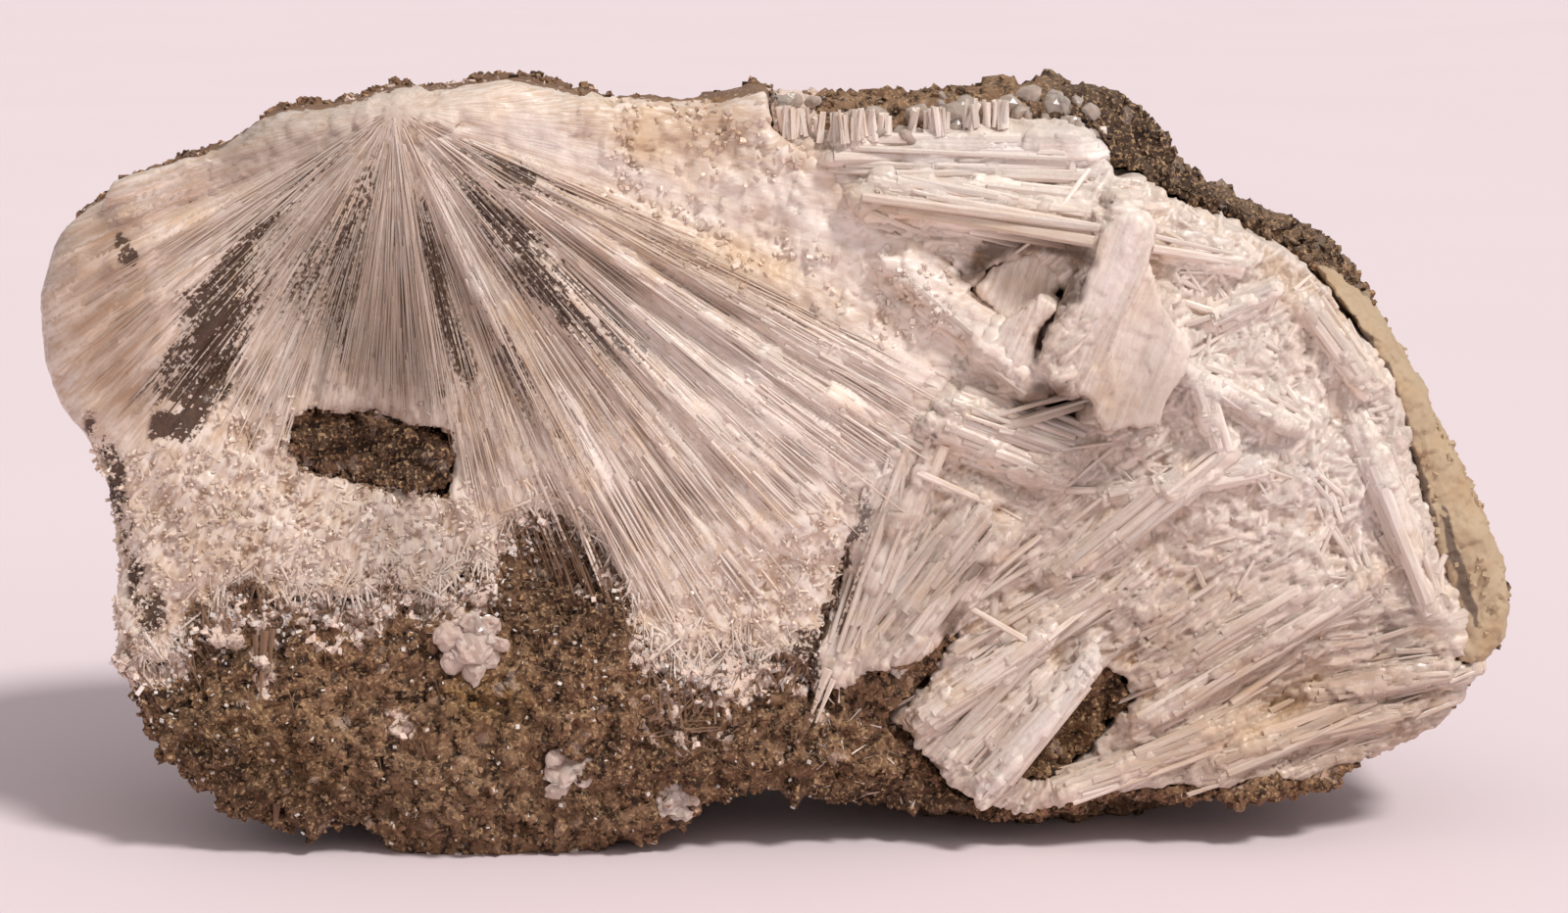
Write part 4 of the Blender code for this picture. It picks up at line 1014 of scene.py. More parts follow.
def lay_crystals(name, items, material, slot, sides=6, tip=0.6, is_rock=False):
    """Makes one piece of many crystals, each given as place, turn, size and tone."""
    items = [item for item in items if item is not None]
    data = bpy.data.meshes.new(name)
    data.from_pydata([tuple(item[0] * MM) for item in items], [], [])
    for key, kind, field, values in (
        ("turn", "FLOAT_VECTOR", "vector", [tuple(item[1]) for item in items]),
        ("size", "FLOAT_VECTOR", "vector", [[MM * s for s in item[2]] for item in items]),
        ("tone", "FLOAT", "value", [item[3] for item in items]),
    ):
        attribute = data.attributes.new(key, kind, "POINT")
        attribute.data.foreach_set(field, np.array(values, dtype=np.float32).ravel())
    obj = bpy.data.objects.new(name + "_points", data)
    bpy.context.scene.collection.objects.link(obj)
    tree = crystal_tree(name + "_nodes", material)
    modifier = obj.modifiers.new("crystals", "NODES")
    modifier.node_group = tree
    for socket in tree.interface.items_tree:
        if socket.in_out == "INPUT" and socket.name == "Sides":
            modifier[socket.identifier] = sides
        if socket.in_out == "INPUT" and socket.name == "Tip":
            modifier[socket.identifier] = tip
    mesh = evaluated_mesh(obj)
    count = len(mesh.vertices)
    own, size = np.empty(count * 3), np.empty(count * 3)
    mesh.attributes["own"].data.foreach_get("vector", own)
    mesh.attributes["size"].data.foreach_get("vector", size)
    grain = own.reshape(-1, 3) * size.reshape(-1, 3) / MM
    grain[:, 2] *= ALONG
    tone = np.empty(count)
    mesh.attributes["tone"].data.foreach_get("value", tone)
    store_grain(mesh, grain + (tone * GRAIN_SHIFT)[:, None])
    for key in ("own", "size", "turn"):
        mesh.attributes.remove(mesh.attributes[key])
    paint_fields(mesh, is_rock)
    return finish_piece(name, mesh, None, slot)


def crumb_tree(name, material):
    """A node tree that scatters small turned crumbs on a surface where it is marked."""
    tree = bpy.data.node_groups.new(name, "GeometryNodeTree")
    tree.interface.new_socket("Geometry", in_out="INPUT", socket_type="NodeSocketGeometry")
    for label, kind in (
        ("Density", "NodeSocketFloat"), ("Smallest", "NodeSocketVector"),
        ("Largest", "NodeSocketVector"), ("Seed", "NodeSocketInt"), ("Blocky", "NodeSocketBool"),
    ):
        tree.interface.new_socket(label, in_out="INPUT", socket_type=kind)
    tree.interface.new_socket("Geometry", in_out="OUTPUT", socket_type="NodeSocketGeometry")
    given = add(tree, "NodeGroupInput")
    marked = add(tree, "GeometryNodeInputNamedAttribute", {"Name": "crumbly"}, data_type="FLOAT")
    density = add(
        tree, "ShaderNodeMath", {0: marked.outputs[0], 1: given.outputs["Density"]},
        operation="MULTIPLY",
    )
    points = add(
        tree, "GeometryNodeDistributePointsOnFaces",
        {
            "Mesh": given.outputs["Geometry"], "Density": density.outputs[0],
            "Seed": given.outputs["Seed"],
        },
        distribute_method="RANDOM",
    )
    tone = add(
        tree, "FunctionNodeRandomValue", {2: 0.0, 3: 1.0, "Seed": given.outputs["Seed"]},
        data_type="FLOAT",
    )
    toned = add(
        tree, "GeometryNodeStoreNamedAttribute",
        {"Geometry": points.outputs["Points"], "Name": "tone", "Value": tone.outputs[1]},
        data_type="FLOAT", domain="POINT",
    )
    block = add(tree, "GeometryNodeMeshCube", {"Size": (1.6, 1.6, 1.6)})
    pebble = add(tree, "GeometryNodeMeshIcoSphere", {"Radius": 1.0, "Subdivisions": 1})
    chosen = add(
        tree, "GeometryNodeSwitch",
        {"Switch": given.outputs["Blocky"], "False": pebble.outputs[0], "True": block.outputs[0]},
        input_type="GEOMETRY",
    )
    turn = add(
        tree, "FunctionNodeRandomValue",
        {0: (0.0, 0.0, 0.0), 1: (6.283, 6.283, 6.283), "Seed": given.outputs["Seed"]},
        data_type="FLOAT_VECTOR",
    )
    size = add(
        tree, "FunctionNodeRandomValue",
        {0: given.outputs["Smallest"], 1: given.outputs["Largest"], "Seed": given.outputs["Seed"]},
        data_type="FLOAT_VECTOR",
    )
    rotation = add(tree, "FunctionNodeEulerToRotation", {0: turn.outputs[0]})
    crumbs = add(
        tree, "GeometryNodeInstanceOnPoints",
        {
            "Points": toned.outputs[0], "Instance": chosen.outputs[0],
            "Rotation": rotation.outputs[0], "Scale": size.outputs[0],
        },
    )
    real = add(tree, "GeometryNodeRealizeInstances", {0: crumbs.outputs[0]})
    finished = add(tree, "GeometryNodeSetMaterial", {0: real.outputs[0], "Material": material})
    add(tree, "NodeGroupOutput", {0: finished.outputs[0]})
    return tree


def scatter(name, surface, mark, density, smallest, largest, blocky, material, slot, is_rock):
    """Scatters crumbs on a piece's surface: mark gives how thickly, from 0 to 1, at each point."""
    data = surface.data.copy()
    co, normals = coordinates(data)
    attribute = data.attributes.new("crumbly", "FLOAT", "POINT")
    attribute.data.foreach_set("value", mark(co, normals).astype(np.float32))
    obj = bpy.data.objects.new(name + "_ground", data)
    bpy.context.scene.collection.objects.link(obj)
    tree = crumb_tree(name + "_nodes", material)
    modifier = obj.modifiers.new("crumbs", "NODES")
    modifier.node_group = tree
    values = {
        "Density": density * PER_SQUARE_METRE, "Smallest": [s * MM for s in smallest],
        "Largest": [s * MM for s in largest],
        "Seed": bpy.context.scene.strontianite.seed, "Blocky": blocky,
    }
    for socket in tree.interface.items_tree:
        if socket.in_out == "INPUT" and socket.name in values:
            modifier[socket.identifier] = values[socket.name]
    mesh = evaluated_mesh(obj)
    for key in ("stain", "cover", "grain", "crumbly", "layer"):
        if key in mesh.attributes:
            mesh.attributes.remove(mesh.attributes[key])
    co, _ = coordinates(mesh)
    co[:, 2] = np.maximum(co[:, 2], 0.0)
    mesh.vertices.foreach_set("co", (co * MM).ravel())
    store_grain(mesh, co * 1.3)
    paint_fields(mesh, is_rock)
    return finish_piece(name, mesh, None, slot)


class StrontianiteOperator:
    """What the specimen's operators share."""

    bl_options = {"REGISTER", "UNDO"}

    @property
    def settings(self):
        return bpy.context.scene.strontianite


MATERIALS = {}


def material_of(kind):
    """The specimen's materials, each made once."""
    settings = bpy.context.scene.strontianite
    makers = {
        # fibrous crystal splits into silky needles, so its shine runs along them
        "fibrous": lambda: crystal_material(
            "fibrous strontianite", (*settings.clean_colour, 1.0), 0.42, 0.12, 1.0
        ),
        # bladed crystal cleaves flat, so it is smoother and a little clearer
        "bladed": lambda: crystal_material(
            "bladed strontianite", (*settings.clean_colour, 1.0), 0.38, 0.15, 0.55
        ),
        # sugary crystal is a mass of small clear grains that glitter
        "sugary": lambda: crystal_material(
            "sugary strontianite", linear("#EFD8C8"), 0.30, 0.25, 0.1
        ),
        "rock": lambda: rock_material("gritty host limestone", (*settings.rock_colour, 1.0)),
        "rind": lambda: rind_material("weathered calcite rind", (*settings.rind_colour, 1.0)),
        "clear": lambda: clear_material("clear strontianite plates", linear("#CDB0A0"), 0.2),
        "smoky": lambda: clear_material("smoky quartz lumps", linear("#8E7B69"), 0.25),
    }
    if kind not in MATERIALS:
        MATERIALS[kind] = makers[kind]()
    return MATERIALS[kind]


def shaded(mesh, tone, painted_crevice_shade):
    """Stores each point's own brightness, and painted shade that darkens it by how deep it lies between
    crystals.
    """
    for name, values in (("tone", tone), ("painted_crevice_shade", painted_crevice_shade)):
        attribute = mesh.attributes.new(name, "FLOAT", "POINT")
        attribute.data.foreach_set("value", values.astype(np.float32))


def fan_laths(rng):
    """The fan's broad fibre bundles, which radiate from the apex."""
    laths = []
    for _ in range(1500):
        angle = math.radians(rng.uniform(-80.0, 68.0))
        reach = float(fan_reach(angle)) + rng.normal(0.0, 3.0)
        length = rng.uniform(5.0, 26.0)
        begin = rng.uniform(-2.0, max(1.0, reach - length))
        middle = begin + length / 2
        width = rng.uniform(0.3, 1.0) * (0.45 + middle / 40.0)
        way = angle + math.radians(rng.normal(0.0, 1.0))
        x, z = APEX[0] + math.sin(angle) * middle, APEX[1] - math.cos(angle) * middle
        top = rng.uniform(0.0, 0.55)
        laths.append(
            (x, z, way - math.pi / 2, length, width, top, rng.normal(0.0, 0.25), rng.random())
        )
    return laths


def blade_laths(rng):
    """The laths that make up the right spray's main blades."""
    laths = []
    for start, end, blade in BLADES:
        a, b = np.array(start), np.array(end)
        length = np.linalg.norm(b - a)
        way = (b - a) / length
        across = np.array((-way[1], way[0]))
        angle = math.atan2(way[1], way[0])
        for _ in range(6 + int(blade * 3.2)):
            side = rng.uniform(-0.5, 0.5)
            long = length * rng.uniform(0.3, 1.0)
            middle = (a + b) / 2 + way * (length - long) * rng.uniform(-0.5, 0.5) + across * side * blade
            width = rng.uniform(0.5, 1.7)
            top = rng.uniform(0.1, 0.8) * (1.0 - abs(side))
            turned = angle + rng.normal(0.0, 0.025)
            laths.append((*middle, turned, long, width, top, rng.normal(0.0, 0.18), rng.random()))
    return laths


def small_laths(rng, count):
    """Small blades of the right spray: they follow the nearest main blade, or cross at random."""
    middles = np.array([np.add(a, b) / 2 for a, b, _ in BLADES])
    ways = np.array([np.subtract(b, a) / np.linalg.norm(np.subtract(b, a)) for a, b, _ in BLADES])
    laths = []
    for _ in range(count):
        x, z = rng.uniform(-1.0, 75.0), rng.uniform(2.0, 78.0)
        nearest = int(np.argmin(np.hypot(*(middles - (x, z)).T)))
        wild = smooth_step(28.0, 40.0, np.float64(x)) * smooth_step(24.0, 34.0, np.float64(z))
        if rng.random() < 0.02 + 0.75 * wild:
            angle = rng.uniform(0.0, math.pi)
        else:
            angle = math.atan2(ways[nearest][1], ways[nearest][0]) + rng.normal(0.0, 0.13)
        length = rng.uniform(1.4, 4.2) * (1.0 + 1.0 * (1.0 - wild))
        width = rng.uniform(0.3, 1.0)
        top = rng.uniform(-0.3, 0.35)
        laths.append((x, z, angle, length, width, top, rng.normal(0.0, 0.25), rng.random()))
    return laths


class OBJECT_OT_strontianite_fan_body(StrontianiteOperator, bpy.types.Operator):
    """The left spray's body: ridges fan out from the apex, grains lie under them"""

    bl_idname = "object.strontianite_fan_body"
    bl_label = "Left Spray Body"

    def execute(self, context):
        rng = np.random.default_rng(self.settings.seed + 10)
        mesh = skin("left_spray", 0.64, 2)
        co, normals = coordinates(mesh)
        x, y, z = co.T
        angle, radius = polar(x, z)
        front = 1.0 - smooth_step(-15.0, -11.0, y)
        top, _, tone = pile(x, z, fan_laths(rng))
        covered = top > -1e8
        top = np.where(covered, top, 0.0)
        ray = np.stack((angle * 34.0, radius * 0.05, y * 0.25), 1)
        strand = noise(ray, 0.8, 2)
        rough_edge = 2.0 * noise(co, 3.0, 6)
        grainy = smooth_step(-6.0, 2.0, radius - fan_reach(angle) + rough_edge)
        sugar = sugar_mask(x, z)
        grainy = np.maximum(grainy, sugar)
        lobe = smooth_step(-57.0, -63.0, x) * smooth_step(40.0, 46.0, z)
        grainy *= 1.0 - lobe
        root = 1.0 - smooth_step(3.0, 9.0, radius + rough_edge)
        shoulder = stroke_mask(x, z, ((-59.0, 73.0, 2.5), (-46.0, 75.5, 3.0), (-28.0, 76.0, 2.5)), False)
        grainy = np.maximum(grainy, 0.8 * np.maximum(root, shoulder))
        fibrous = (0.8 * top - 0.15 + 0.2 * strand) * (1.0 - 0.75 * lobe)
        lumps = 0.4 * noise(co, 3.4, 3) + 0.42 * facets(co, 2.1, 4) + 0.24 * facets(co, 1.1, 8)
        lumps += 0.7 * sugar * noise(co, 5.0, 5) - 0.12 * sugar
        height = 0.1 + front * (fibrous * (1.0 - grainy) + lumps * grainy) + (1.0 - front) * 0.6 * lumps
        height += 0.5 * stroke_mask(x, z, SEAM, False)
        outer = outer_share(co)
        height = height * (1.0 - outer) + (rock_relief(co) + 0.4) * outer
        recess = in_outline(x + 0.5 * noise(co, 1.2, 24), z + 0.5 * noise(co, 1.2, 25), WINDOW)
        height[recess] = 0.9 * facets(co[recess], 1.6, 26) - 1.2
        move(mesh, co + normals * height[:, None])
        store_grain(mesh, np.stack((angle * 30.0, radius * ALONG, y * 0.4), 1))
        tone = 0.5 + (tone - 0.5) * (1.0 - grainy)
        # painted shade in the crevices between the fibre bundles
        deep = smooth_step(0.0, -0.5, height) * front
        shaded(mesh, tone, 0.8 * deep)
        paint_fields(mesh, False)
        remember_surface("fan", mesh)
        finish_piece(
            "fan_crystal_body", mesh, material_of("fibrous"), "fibrous_strontianite", "left_spray"
        )
        return {"FINISHED"}


class OBJECT_OT_strontianite_blade_body(StrontianiteOperator, bpy.types.Operator):
    """The right spray's body: laths grown together into blades and blocks"""

    bl_idname = "object.strontianite_blade_body"
    bl_label = "Right Spray Body"

    def execute(self, context):
        rng = np.random.default_rng(self.settings.seed + 11)
        mesh = skin("right_spray", 0.62, 2)
        co, normals = coordinates(mesh)
        x, y, z = co.T
        front = 1.0 - smooth_step(-15.0, -11.0, y)
        laths = small_laths(rng, 4200) + blade_laths(rng)
        top, grain, tone = pile(x, z, laths)
        covered = top > -1e8
        top = np.where(covered, top, -0.3)
        grain = np.where(covered[:, None], grain, co * 0.7)
        lumps = 0.5 * noise(co, 3.6, 21) + 0.6 * facets(co, 2.6, 22) + 0.2 * facets(co, 1.1, 23)
        seal = 0.4 * smooth_step(57.0, 62.0, x) * smooth_step(12.0, 20.0, z)
        seal += 0.5 * stroke_mask(x, z, SEAM, False)
        height = 0.1 + seal + front * (0.7 * top + 0.75 * lumps) + (1.0 - front) * 1.2 * lumps
        outer = outer_share(co)
        height = height * (1.0 - outer) + (rock_relief(co) + 0.4) * outer
        move(mesh, co + normals * height[:, None])
        store_grain(mesh, grain)
        # painted shade in the crevices between the laths
        shaded(mesh, tone, front * smooth_step(0.0, -0.45, height))
        paint_fields(mesh, False)
        remember_surface("blades", mesh)
        finish_piece(
            "blade_crystal_body", mesh, material_of("bladed"), "bladed_strontianite", "right_spray"
        )
        return {"FINISHED"}


class OBJECT_OT_strontianite_rock(StrontianiteOperator, bpy.types.Operator):
    """The host rock's gritty body"""

    bl_idname = "object.strontianite_rock"
    bl_label = "Host Rock Body"

    def execute(self, context):
        mesh = skin("host_rock", 0.8, 1)
        co, normals = coordinates(mesh)
        rough = rock_relief(co)
        standing = 1.0 - smooth_step(0.5, 0.1, co[:, 2])
        move(mesh, co + normals * (rough * standing)[:, None])
        store_grain(mesh, co)
        # painted shade in the rock's hollows
        shaded(mesh, np.full(len(co), 0.5), smooth_step(0.0, -0.9, rough))
        paint_fields(mesh, True)
        remember_surface("rock", mesh)
        finish_piece("host_rock_body", mesh, material_of("rock"), "host_rock", "host_rock")
        return {"FINISHED"}


class OBJECT_OT_strontianite_rind(StrontianiteOperator, bpy.types.Operator):
    """The weathered rind on the right end, and the crumbs at its border"""

    bl_idname = "object.strontianite_rind"
    bl_label = "Weathered Rind"

    def execute(self, context):
        mesh = skin("weathered_rind", 0.5, 3)
        co, normals = coordinates(mesh)
        rough = 0.45 * noise(co, 4.0, 41) + 0.3 * facets(co, 1.8, 42) + 0.16 * facets(co, 0.9, 44)
        border = rind_border(co)
        height = (0.12 + rough) * (1.0 - border) + (rock_relief(co) + 0.3) * border
        move(mesh, co + normals * height[:, None])
        line = ((68.7, 36.0, 0.25), (69.6, 33.0, 0.55), (71.3, 28.0, 0.6), (72.8, 23.5, 0.35))
        inner = (
            (59.6, 54.9, 0.3), (62.7, 50.3, 0.3), (65.1, 43.6, 0.35), (66.7, 38.6, 0.3),
            (68.1, 33.5, 0.3),
        )
        shifted = co[:, 0] + 0.4 * noise(co, 1.6, 43)
        layer = 0.8 * stroke_mask(shifted, co[:, 2], line, False)
        layer = np.maximum(layer, 0.7 * stroke_mask(shifted, co[:, 2], inner, False)) * (co[:, 1] < -12.0)
        layer = np.maximum(layer, border)
        attribute = mesh.attributes.new("layer", "FLOAT", "POINT")
        attribute.data.foreach_set("value", layer.astype(np.float32))
        remember_surface("rind", mesh)
        body = finish_piece(
            "rind_body", mesh, material_of("rind"), "weathered_rind", "weathered_rind"
        )
        scatter(
            "rind_border_crumbs", body, lambda co, normals: rind_border(co), 1.1, (0.2, 0.2, 0.2),
            (0.7, 0.6, 0.6), True, material_of("rock"), "host_rock", True,
        )
        scatter(
            "rind_crumbs", body, lambda co, normals: smooth_step(-0.2, 0.5, noise(co, 6.0, 46)), 0.25,
            (0.15, 0.15, 0.15), (0.5, 0.5, 0.4), True, material_of("rind"), "weathered_rind", True,
        )
        return {"FINISHED"}


class OBJECT_OT_strontianite_fibres(StrontianiteOperator, bpy.types.Operator):
    """The left fan's fibres, which radiate from its apex"""

    bl_idname = "object.strontianite_fibres"
    bl_label = "Fan Fibres"

    def execute(self, context):
        rng = np.random.default_rng(self.settings.seed)
        width = self.settings.fibre_width / MM
        items = []
        for _ in range(self.settings.fibre_count):
            angle = math.radians(rng.uniform(-60.0, 67.0))
            reach = float(fan_reach(angle)) + rng.normal(-1.0, 3.0)
            begin = 1.0 + (reach - 5.0) * rng.random() ** 0.8
            length = min(rng.uniform(3.0, 15.0), reach - begin)
            if length < 2.5:
                continue
            way = angle + math.radians(rng.normal(0.0, 1.2))
            x = APEX[0] + math.sin(angle) * begin
            z = APEX[1] - math.cos(angle) * begin
            end = (x + math.sin(way) * length, z - math.cos(way) * length)
            tips = np.array((x, (x + end[0]) / 2, end[0])), np.array((z, (z + end[1]) / 2, end[1]))
            if in_outline(*tips, WINDOW).any() or sugar_mask(*tips).max() > 0.5:
                continue
            if x < -57.0 and rng.random() < 0.8:
                continue
            wide = width * rng.lognormal(0.0, 0.4) * (0.6 + 0.6 * begin / 50.0)
            lift = rng.normal(0.02, 0.07)
            items.append(laid((x, z), end, wide, wide * 0.7, lift, rng.normal(0.0, 0.5), rng.random()))
        lay_crystals("fan_fibres", items, material_of("fibrous"), "fibrous_strontianite", tip=0.4)
        return {"FINISHED"}


def lath_items(rng, laths, tree, share, thin):
    """Crystals for a share of the laths of a pile, half sunk in its face to sharpen it."""
    items = []
    outlines = [outline for outline, *_ in PLATES]
    for x, z, angle, length, width, top, _, tone in laths:
        if rng.random() > share:
            continue
        half = np.array((math.cos(angle), math.sin(angle))) * length / 2
        ends = np.array((x - half[0], x, x + half[0])), np.array((z - half[1], z, z + half[1]))
        if any(in_outline(*ends, outline).any() for outline in outlines):
            continue
        here = on_face(x, z)
        hit = tree.ray_cast(Vector((x * MM, RAY_START_Y, z * MM)), INWARD)[0]
        if here is None or hit is None or hit.y / MM > here[0].y + 0.3:
            continue
        items.append(
            laid(
                (x - half[0], z - half[1]), (x + half[0], z + half[1]), width * 0.9, width * thin,
                0.12 * rng.random() - 0.16 * width, rng.normal(0.0, 0.12), tone,
            )
        )
    return items


class OBJECT_OT_strontianite_blades(StrontianiteOperator, bpy.types.Operator):
    """The laths along the right spray's main blades"""

    bl_idname = "object.strontianite_blades"
    bl_label = "Main Blades"

    def execute(self, context):
        rng = np.random.default_rng(self.settings.seed + 1)
        items = lath_items(rng, blade_laths(rng), SURFACES["blades"], 0.55, 0.55)
        lay_crystals("spray_blades", items, material_of("bladed"), "bladed_strontianite", tip=0.9)
        return {"FINISHED"}


class OBJECT_OT_strontianite_filler(StrontianiteOperator, bpy.types.Operator):
    """Small blades between the main ones, lying along them or crossed at random"""

    bl_idname = "object.strontianite_filler"
    bl_label = "Small Blades"

    def execute(self, context):
        rng = np.random.default_rng(self.settings.seed + 2)
        laths = small_laths(rng, self.settings.filler_count)
        items = lath_items(rng, laths, SURFACES["blades"], 0.20, 0.5)
        lay_crystals("small_blades", items, material_of("bladed"), "bladed_strontianite", tip=0.8)
        return {"FINISHED"}


class OBJECT_OT_strontianite_plates(StrontianiteOperator, bpy.types.Operator):
    """The broad plates in and beside the cavity"""

    bl_idname = "object.strontianite_plates"
    bl_label = "Cavity Plates"

    def execute(self, context):
        pieces = bmesh.new()
        for outline, depth, thickness, lean, pitch in PLATES:
            cx = sum(p[0] for p in outline) / len(outline)
            cz = sum(p[1] for p in outline) / len(outline)
            mesh = bmesh.new()
            ring = [mesh.verts.new((x - cx, 0.0, z - cz)) for x, z in outline]
            face = mesh.faces.new(ring)
            grown = bmesh.ops.extrude_face_region(mesh, geom=[face])
            back = [v for v in grown["geom"] if isinstance(v, bmesh.types.BMVert)]
            bmesh.ops.translate(mesh, verts=back, vec=(0.0, thickness, 0.0))
            bmesh.ops.recalc_face_normals(mesh, faces=mesh.faces)
            bmesh.ops.bevel(mesh, geom=mesh.edges[:], offset=0.3, segments=2, affect="EDGES")
            bmesh.ops.triangulate(mesh, faces=mesh.faces)
            turn = Matrix.Rotation(math.radians(lean), 4, "Z")
            turn = turn @ Matrix.Rotation(math.radians(pitch), 4, "X")
            place = Matrix.Scale(MM, 4) @ Matrix.Translation((cx, depth, cz)) @ turn
            bmesh.ops.transform(mesh, matrix=place, verts=mesh.verts)
            data = bpy.data.meshes.new("plate")
            mesh.to_mesh(data)
            mesh.free()
            pieces.from_mesh(data)
        data = bpy.data.meshes.new("cavity_plates")
        pieces.to_mesh(data)
        pieces.free()
        obj = bpy.data.objects.new("plates_form", data)
        bpy.context.scene.collection.objects.link(obj)
        remesh = obj.modifiers.new("remesh", "REMESH")
        remesh.mode = "VOXEL"
        remesh.voxel_size = 0.28 * MM
        mesh = evaluated_mesh(obj)
        mesh.polygons.foreach_set("use_smooth", [True] * len(mesh.polygons))
        co, normals = coordinates(mesh)
        along, across = 0.35 * co[:, 0] + 0.94 * co[:, 2], 0.94 * co[:, 0] - 0.35 * co[:, 2]
        stretched = np.stack((across, co[:, 1] * 0.5, along * ALONG), 1)
        steps = np.round(1.4 * noise(stretched, 1.9, 50)) / 1.4
        height = 0.28 * steps + 0.14 * noise(stretched, 0.6, 51) + 0.12 * facets(co, 1.2, 52)
        move(mesh, co + normals * height[:, None])
        store_grain(mesh, stretched)
        shaded(mesh, 0.5 + 0.3 * steps, np.zeros(len(co)))
        paint_fields(mesh, False)
        remember_surface("plates", mesh)
        finish_piece("cavity_plates", mesh, material_of("bladed"), "bladed_strontianite")
        return {"FINISHED"}


class OBJECT_OT_strontianite_sugar(StrontianiteOperator, bpy.types.Operator):
    """Sugary grains above the fan, granular crystals below it and crumbs on both sprays' outer sides"""

    bl_idname = "object.strontianite_sugar"
    bl_label = "Sugary Grains"

    def execute(self, context):
        body = bpy.data.objects["fan_crystal_body"]

        def sugar(co, normals):
            facing = smooth_step(0.0, 0.4, -normals[:, 1])
            return sugar_mask(co[:, 0], co[:, 2]) * facing * smooth_step(-0.3, 0.3, noise(co, 4.0, 81))

        def granular(co, normals):
            x, z = co[:, 0], co[:, 2]
            angle, radius = polar(x, z)
            facing = smooth_step(0.0, 0.4, -normals[:, 1])
            low = smooth_step(-6.0, 2.0, radius - fan_reach(angle))
            lobe = (x < -58.0) & (z > 43.0)
            return facing * low * (1.0 - sugar_mask(x, z)) * (x < 6.0) * ~lobe

        def outer(co, normals):
            return outer_share(co) * (co[:, 1] < 3.5) * (normals[:, 1] < 0.6)

        scatter(
            "sugar_grains", body, sugar, 1.6, (0.12, 0.12, 0.12), (0.42, 0.42, 0.5), True,
            material_of("sugary"), "fibrous_strontianite", False,
        )
        scatter(
            "granular_crystals", body, granular, 1.7, (0.08, 0.08, 0.2), (0.24, 0.22, 0.9), True,
            material_of("sugary"), "fibrous_strontianite", False,
        )
        for side, ground in (("left", body), ("right", bpy.data.objects["blade_crystal_body"])):
            scatter(
                side + "_crust_crumbs", ground, outer, 0.7, (0.16,) * 3, (0.56,) * 3, True,
                material_of("rock"), "host_rock", True,
            )
        return {"FINISHED"}


class OBJECT_OT_strontianite_crumbs(StrontianiteOperator, bpy.types.Operator):
    """Crumbs and crystal grains all over the host rock"""

    bl_idname = "object.strontianite_crumbs"
    bl_label = "Rock Crumbs"

    def execute(self, context):
        body = bpy.data.objects["host_rock_body"]
        size = self.settings.crumb_size / MM

        def everywhere(co, normals):
            front = smooth_step(-10.0, -16.0, co[:, 1])
            crest = (co[:, 2] > 69.0) & (co[:, 1] < 4.0) & (co[:, 0] < 34.0)
            return (0.25 + 0.75 * front) * (co[:, 2] > 1.0) * np.where(crest, 0.35, 1.0)

        def near_crystals(co, normals):
            front = smooth_step(-10.0, -16.0, co[:, 1])
            above = co[:, 2] - edge_height(ROCK_EDGE, co[:, 0])
            near = np.exp(-((above / 4.0) ** 2)) + 0.06
            return front * near * (co[:, 0] < 5.0) * (np.abs(co[:, 2] - 42.0) > 6.0)

        scatter(
            "rock_crumbs", body, everywhere, 0.55, (0.2 * size,) * 3, (0.7 * size,) * 3, True,
            material_of("rock"), "host_rock", True,
        )
        scatter(
            "rock_white_grains", body, near_crystals, 1.3, (0.08, 0.08, 0.2), (0.3, 0.3, 0.8), True,
            material_of("sugary"), "bladed_strontianite", True,
        )
        return {"FINISHED"}


